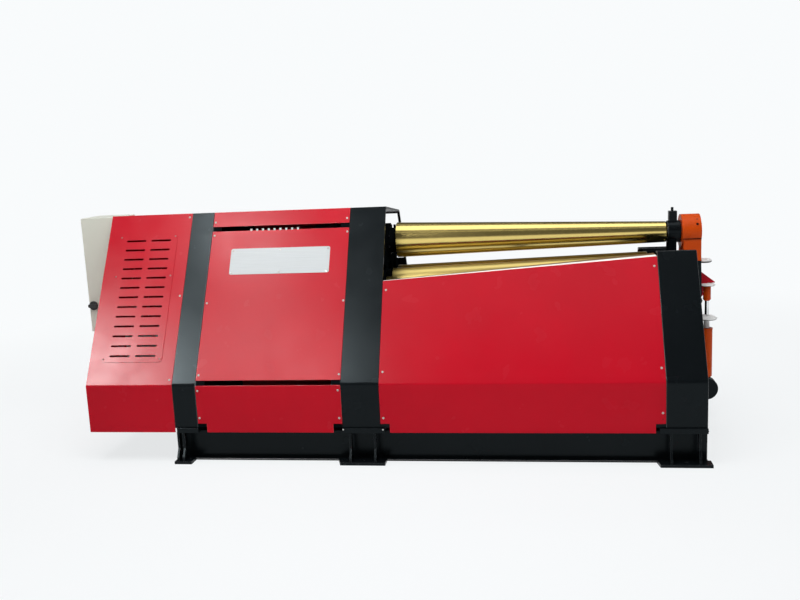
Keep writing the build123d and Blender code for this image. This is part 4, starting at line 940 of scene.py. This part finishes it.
class PLATE_ROLL_OT_cover_screws(bpy.types.Operator):
    """Round screws that hold the covers"""
    bl_idname = "plate_roll.cover_screws"
    bl_label = "Cover screws"

    def execute(self, context):
        radius = context.scene.plate_roll_fastener.cover_screw
        vent = grid(leaning, "vent_panel", columns=(-1.9145, -1.565), rows=(1.2825, 1.057, 0.604))
        fasten("vent_screws", vent, "vent_panel", "vent_screws", radius * 0.85, radius * 0.3)
        # A thin blackened disc as painted shade where the panel has a spare hole
        spare = [upright(1.276, 0.262, "roll_panel_front")]
        fasten("spare_hole_shade", spare, "roll_panel_front", "blackened_screws_and_shade", radius * 0.5, radius * 0.05,
               crown=0.95, recess=0.9, depth=radius * 0.04)
        spots = grid(leaning, "end_cover_front", columns=(-1.489,), rows=(1.391, 0.943, 0.494))
        spots += grid(leaning, "drive_top_strip", columns=(-1.316, -0.493), rows=(1.355,))
        spots += grid(leaning, "drive_front_panel", columns=(-1.3145, -0.487), rows=(1.278, 0.899, 0.517))
        spots += grid(upright, "drive_lower_panels", columns=(-1.318, -0.4925), rows=(0.4323, 0.270))
        spots += grid(leaning, "roll_panel_front", columns=(-0.238,), rows=(0.950, 0.526))
        spots += grid(leaning, "roll_panel_front", columns=(1.274,), rows=(1.043, 0.534))
        spots += [upright(x, height, "roll_panel_front") for x, height in ((1.276, 0.297), (-0.240, 0.270))]
        fasten("cover_screws_front", spots, "end_cover_front", "zinc_screws", radius, radius * 0.42)
        return {"FINISHED"}


def studio_dome(tree):
    """Pale background, which metal shows too near the horizon, under a soft studio of light banks."""
    look = bpy.context.scene.plate_roll_studio
    sky = Nodes(tree)
    tree.nodes.clear()
    height = sky.axes(sky.add("ShaderNodeTexCoord", out="Generated"))[2]
    wall = 1.0 - height.between(0.08, 0.22)
    front_bank = height.between(0.790, 0.805) * (1.0 - height.between(0.835, 0.850))
    roof_bank = height.between(0.915, 0.955)
    strength = 0.10 + wall * 0.62 + front_bank * 0.68 + roof_bank * 1.8
    warm, cool = (1.0, 0.985, 0.96), (0.97, 0.99, 1.0)
    tint = sky.mix(height.between(-0.1, 0.6), warm, cool)
    lit = sky.add("ShaderNodeBackground", None, {"Color": tint, "Strength": strength})
    pale = sky.add("ShaderNodeBackground", None, {"Color": rgba(look.backdrop), "Strength": 1.0})
    mixed = sky.add("ShaderNodeMixShader", None, {0: sky.shown(wall), 1: lit, 2: pale})
    plug(tree, tree.nodes.new("ShaderNodeOutputWorld").inputs["Surface"], mixed)


def studio_floor():
    """Pale floor that keeps a soft shadow and fades into the background."""
    look = bpy.context.scene.plate_roll_studio
    reach = 60.0
    mesh = bpy.data.meshes.new("studio_floor")
    corners = [(-reach, -reach, 0.0), (reach, -reach, 0.0), (reach, reach, 0.0), (-reach, reach, 0.0)]
    mesh.from_pydata(corners, [], [(0, 1, 2, 3)])
    floor = put("studio_floor", mesh)
    finish = Finish("studio_floor", Roughness=0.9, Specular_IOR_Level=0.0)
    where = finish.place()
    finish.shade(look.floor, finish.noise(where, scale=3.0), dark=0.99, light=1.0)
    x, y = finish.axes(where)[:2]
    away = ((x * x + y * y) ** 0.5).between(2.4, 6.0)
    rear = y.between(0.4, 1.5)
    near_share = 0.80
    pale = finish.shown(1.0 - 0.8 * rear) * (near_share + (1.0 - near_share) * away)
    glow = finish.add("ShaderNodeEmission", None, {"Color": rgba(look.backdrop), "Strength": 1.0})
    mixed = finish.add("ShaderNodeMixShader", None, {0: pale, 1: finish.surface.outputs[0], 2: glow})
    plug(finish.tree, finish.tree.nodes["Material Output"].inputs["Surface"], mixed)
    mesh.materials.append(finish.material)


def soft_light(name, place, aim, size, watts, glossy):
    """A rectangular soft light turned towards a point; it shows in the gloss alone, or lights and doesn't."""
    lamp = bpy.data.lights.new(name, "AREA")
    lamp.shape = "RECTANGLE"
    lamp.size, lamp.size_y = size
    lamp.energy = watts
    holder = put(name, lamp)
    holder.visible_glossy = glossy
    holder.visible_diffuse = not glossy
    holder.location = place
    holder.rotation_euler = (Vector(aim) - Vector(place)).to_track_quat("-Z", "Y").to_euler()


class PLATE_ROLL_OT_studio(bpy.types.Operator):
    """Camera, soft light, pale floor and background"""
    bl_idname = "plate_roll.studio"
    bl_label = "Studio"

    def execute(self, context):
        scene = context.scene
        look = scene.plate_roll_studio
        scene.view_settings.view_transform = "Standard"
        right = Vector(look.camera_right).normalized()
        up = -Vector(look.camera_down).normalized()
        back = right.cross(up).normalized()
        camera = put("camera", bpy.data.cameras.new("camera"))
        camera.data.sensor_width = look.sensor
        camera.data.lens = look.lens
        turn = Matrix((right, up, back)).transposed()
        camera.matrix_world = Matrix.Translation(Vector(look.camera_place)) @ turn.to_4x4()
        scene.camera = camera
        world = bpy.data.worlds.new("studio")
        world.use_nodes = True
        scene.world = world
        studio_dome(world.node_tree)
        studio_floor()
        cover = look.gloss_power
        door = cover * look.door_share
        strip = cover * look.strip_share
        # Name, place, aim, width and depth, watts, and whether it shows in the gloss alone
        for light in (
            ("key_light", (-0.3, -2.2, 4.2), (-0.3, -0.3, 0.7), (5.0, 2.2), look.key_power, False),
            ("rear_light", (-0.3, 3.4, 3.6), (-0.3, 0.3, 0.7), (5.0, 2.2), look.rear_power, False),
            ("cover_gloss", (-4.72, -4.42, 4.46), (-1.95, -0.77, 0.57), (1.4, 0.8), cover, True),
            ("door_gloss", (-2.48, -4.71, 4.76), (-0.8, -0.78, 0.56), (1.8, 1.0), door, True),
            ("strip_gloss", (-3.02, -3.60, 5.92), (-1.15, -0.37, 1.27), (0.8, 0.6), strip, True),
        ):
            soft_light(*light)
        return {"FINISHED"}


STEPS = (
    PLATE_ROLL_OT_finishes,
    PLATE_ROLL_OT_sheet_covers,
    PLATE_ROLL_OT_base_and_portals,
    PLATE_ROLL_OT_rolls,
    PLATE_ROLL_OT_stands,
    PLATE_ROLL_OT_drives,
    PLATE_ROLL_OT_drop_end,
    PLATE_ROLL_OT_cabinet,
    PLATE_ROLL_OT_nameplate,
    PLATE_ROLL_OT_cover_screws,
    PLATE_ROLL_OT_studio,
)


class PLATE_ROLL_PT_sidebar(bpy.types.Panel):
    """Steps that dress the machine"""
    bl_idname = "PLATE_ROLL_PT_sidebar"
    bl_label = "Plate rolling machine"
    bl_space_type = "VIEW_3D"
    bl_region_type = "UI"
    bl_category = "Plate roll"

    def draw(self, context):
        for step in STEPS:
            self.layout.operator(step.bl_idname)
        for group in SETTINGS:
            settings = getattr(context.scene, group)
            for key in settings.bl_rna.properties.keys():
                if key not in ("rna_type", "name"):
                    self.layout.prop(settings, key)


SETTINGS = {
    "plate_roll_finish": FinishSettings,
    "plate_roll_skin": SkinSettings,
    "plate_roll_fastener": FastenerSettings,
    "plate_roll_studio": StudioSettings,
}


def register():
    for group, settings in SETTINGS.items():
        bpy.utils.register_class(settings)
        setattr(bpy.types.Scene, group, PointerProperty(type=settings))
    for step in STEPS:
        bpy.utils.register_class(step)
    bpy.utils.register_class(PLATE_ROLL_PT_sidebar)


def unregister():
    bpy.utils.unregister_class(PLATE_ROLL_PT_sidebar)
    for step in reversed(STEPS):
        bpy.utils.unregister_class(step)
    for group, settings in reversed(SETTINGS.items()):
        delattr(bpy.types.Scene, group)
        bpy.utils.unregister_class(settings)


def main():
    register()
    for step in STEPS:
        area, name = step.bl_idname.split(".")
        getattr(getattr(bpy.ops, area), name)()


if __name__ == "__main__":
    main()
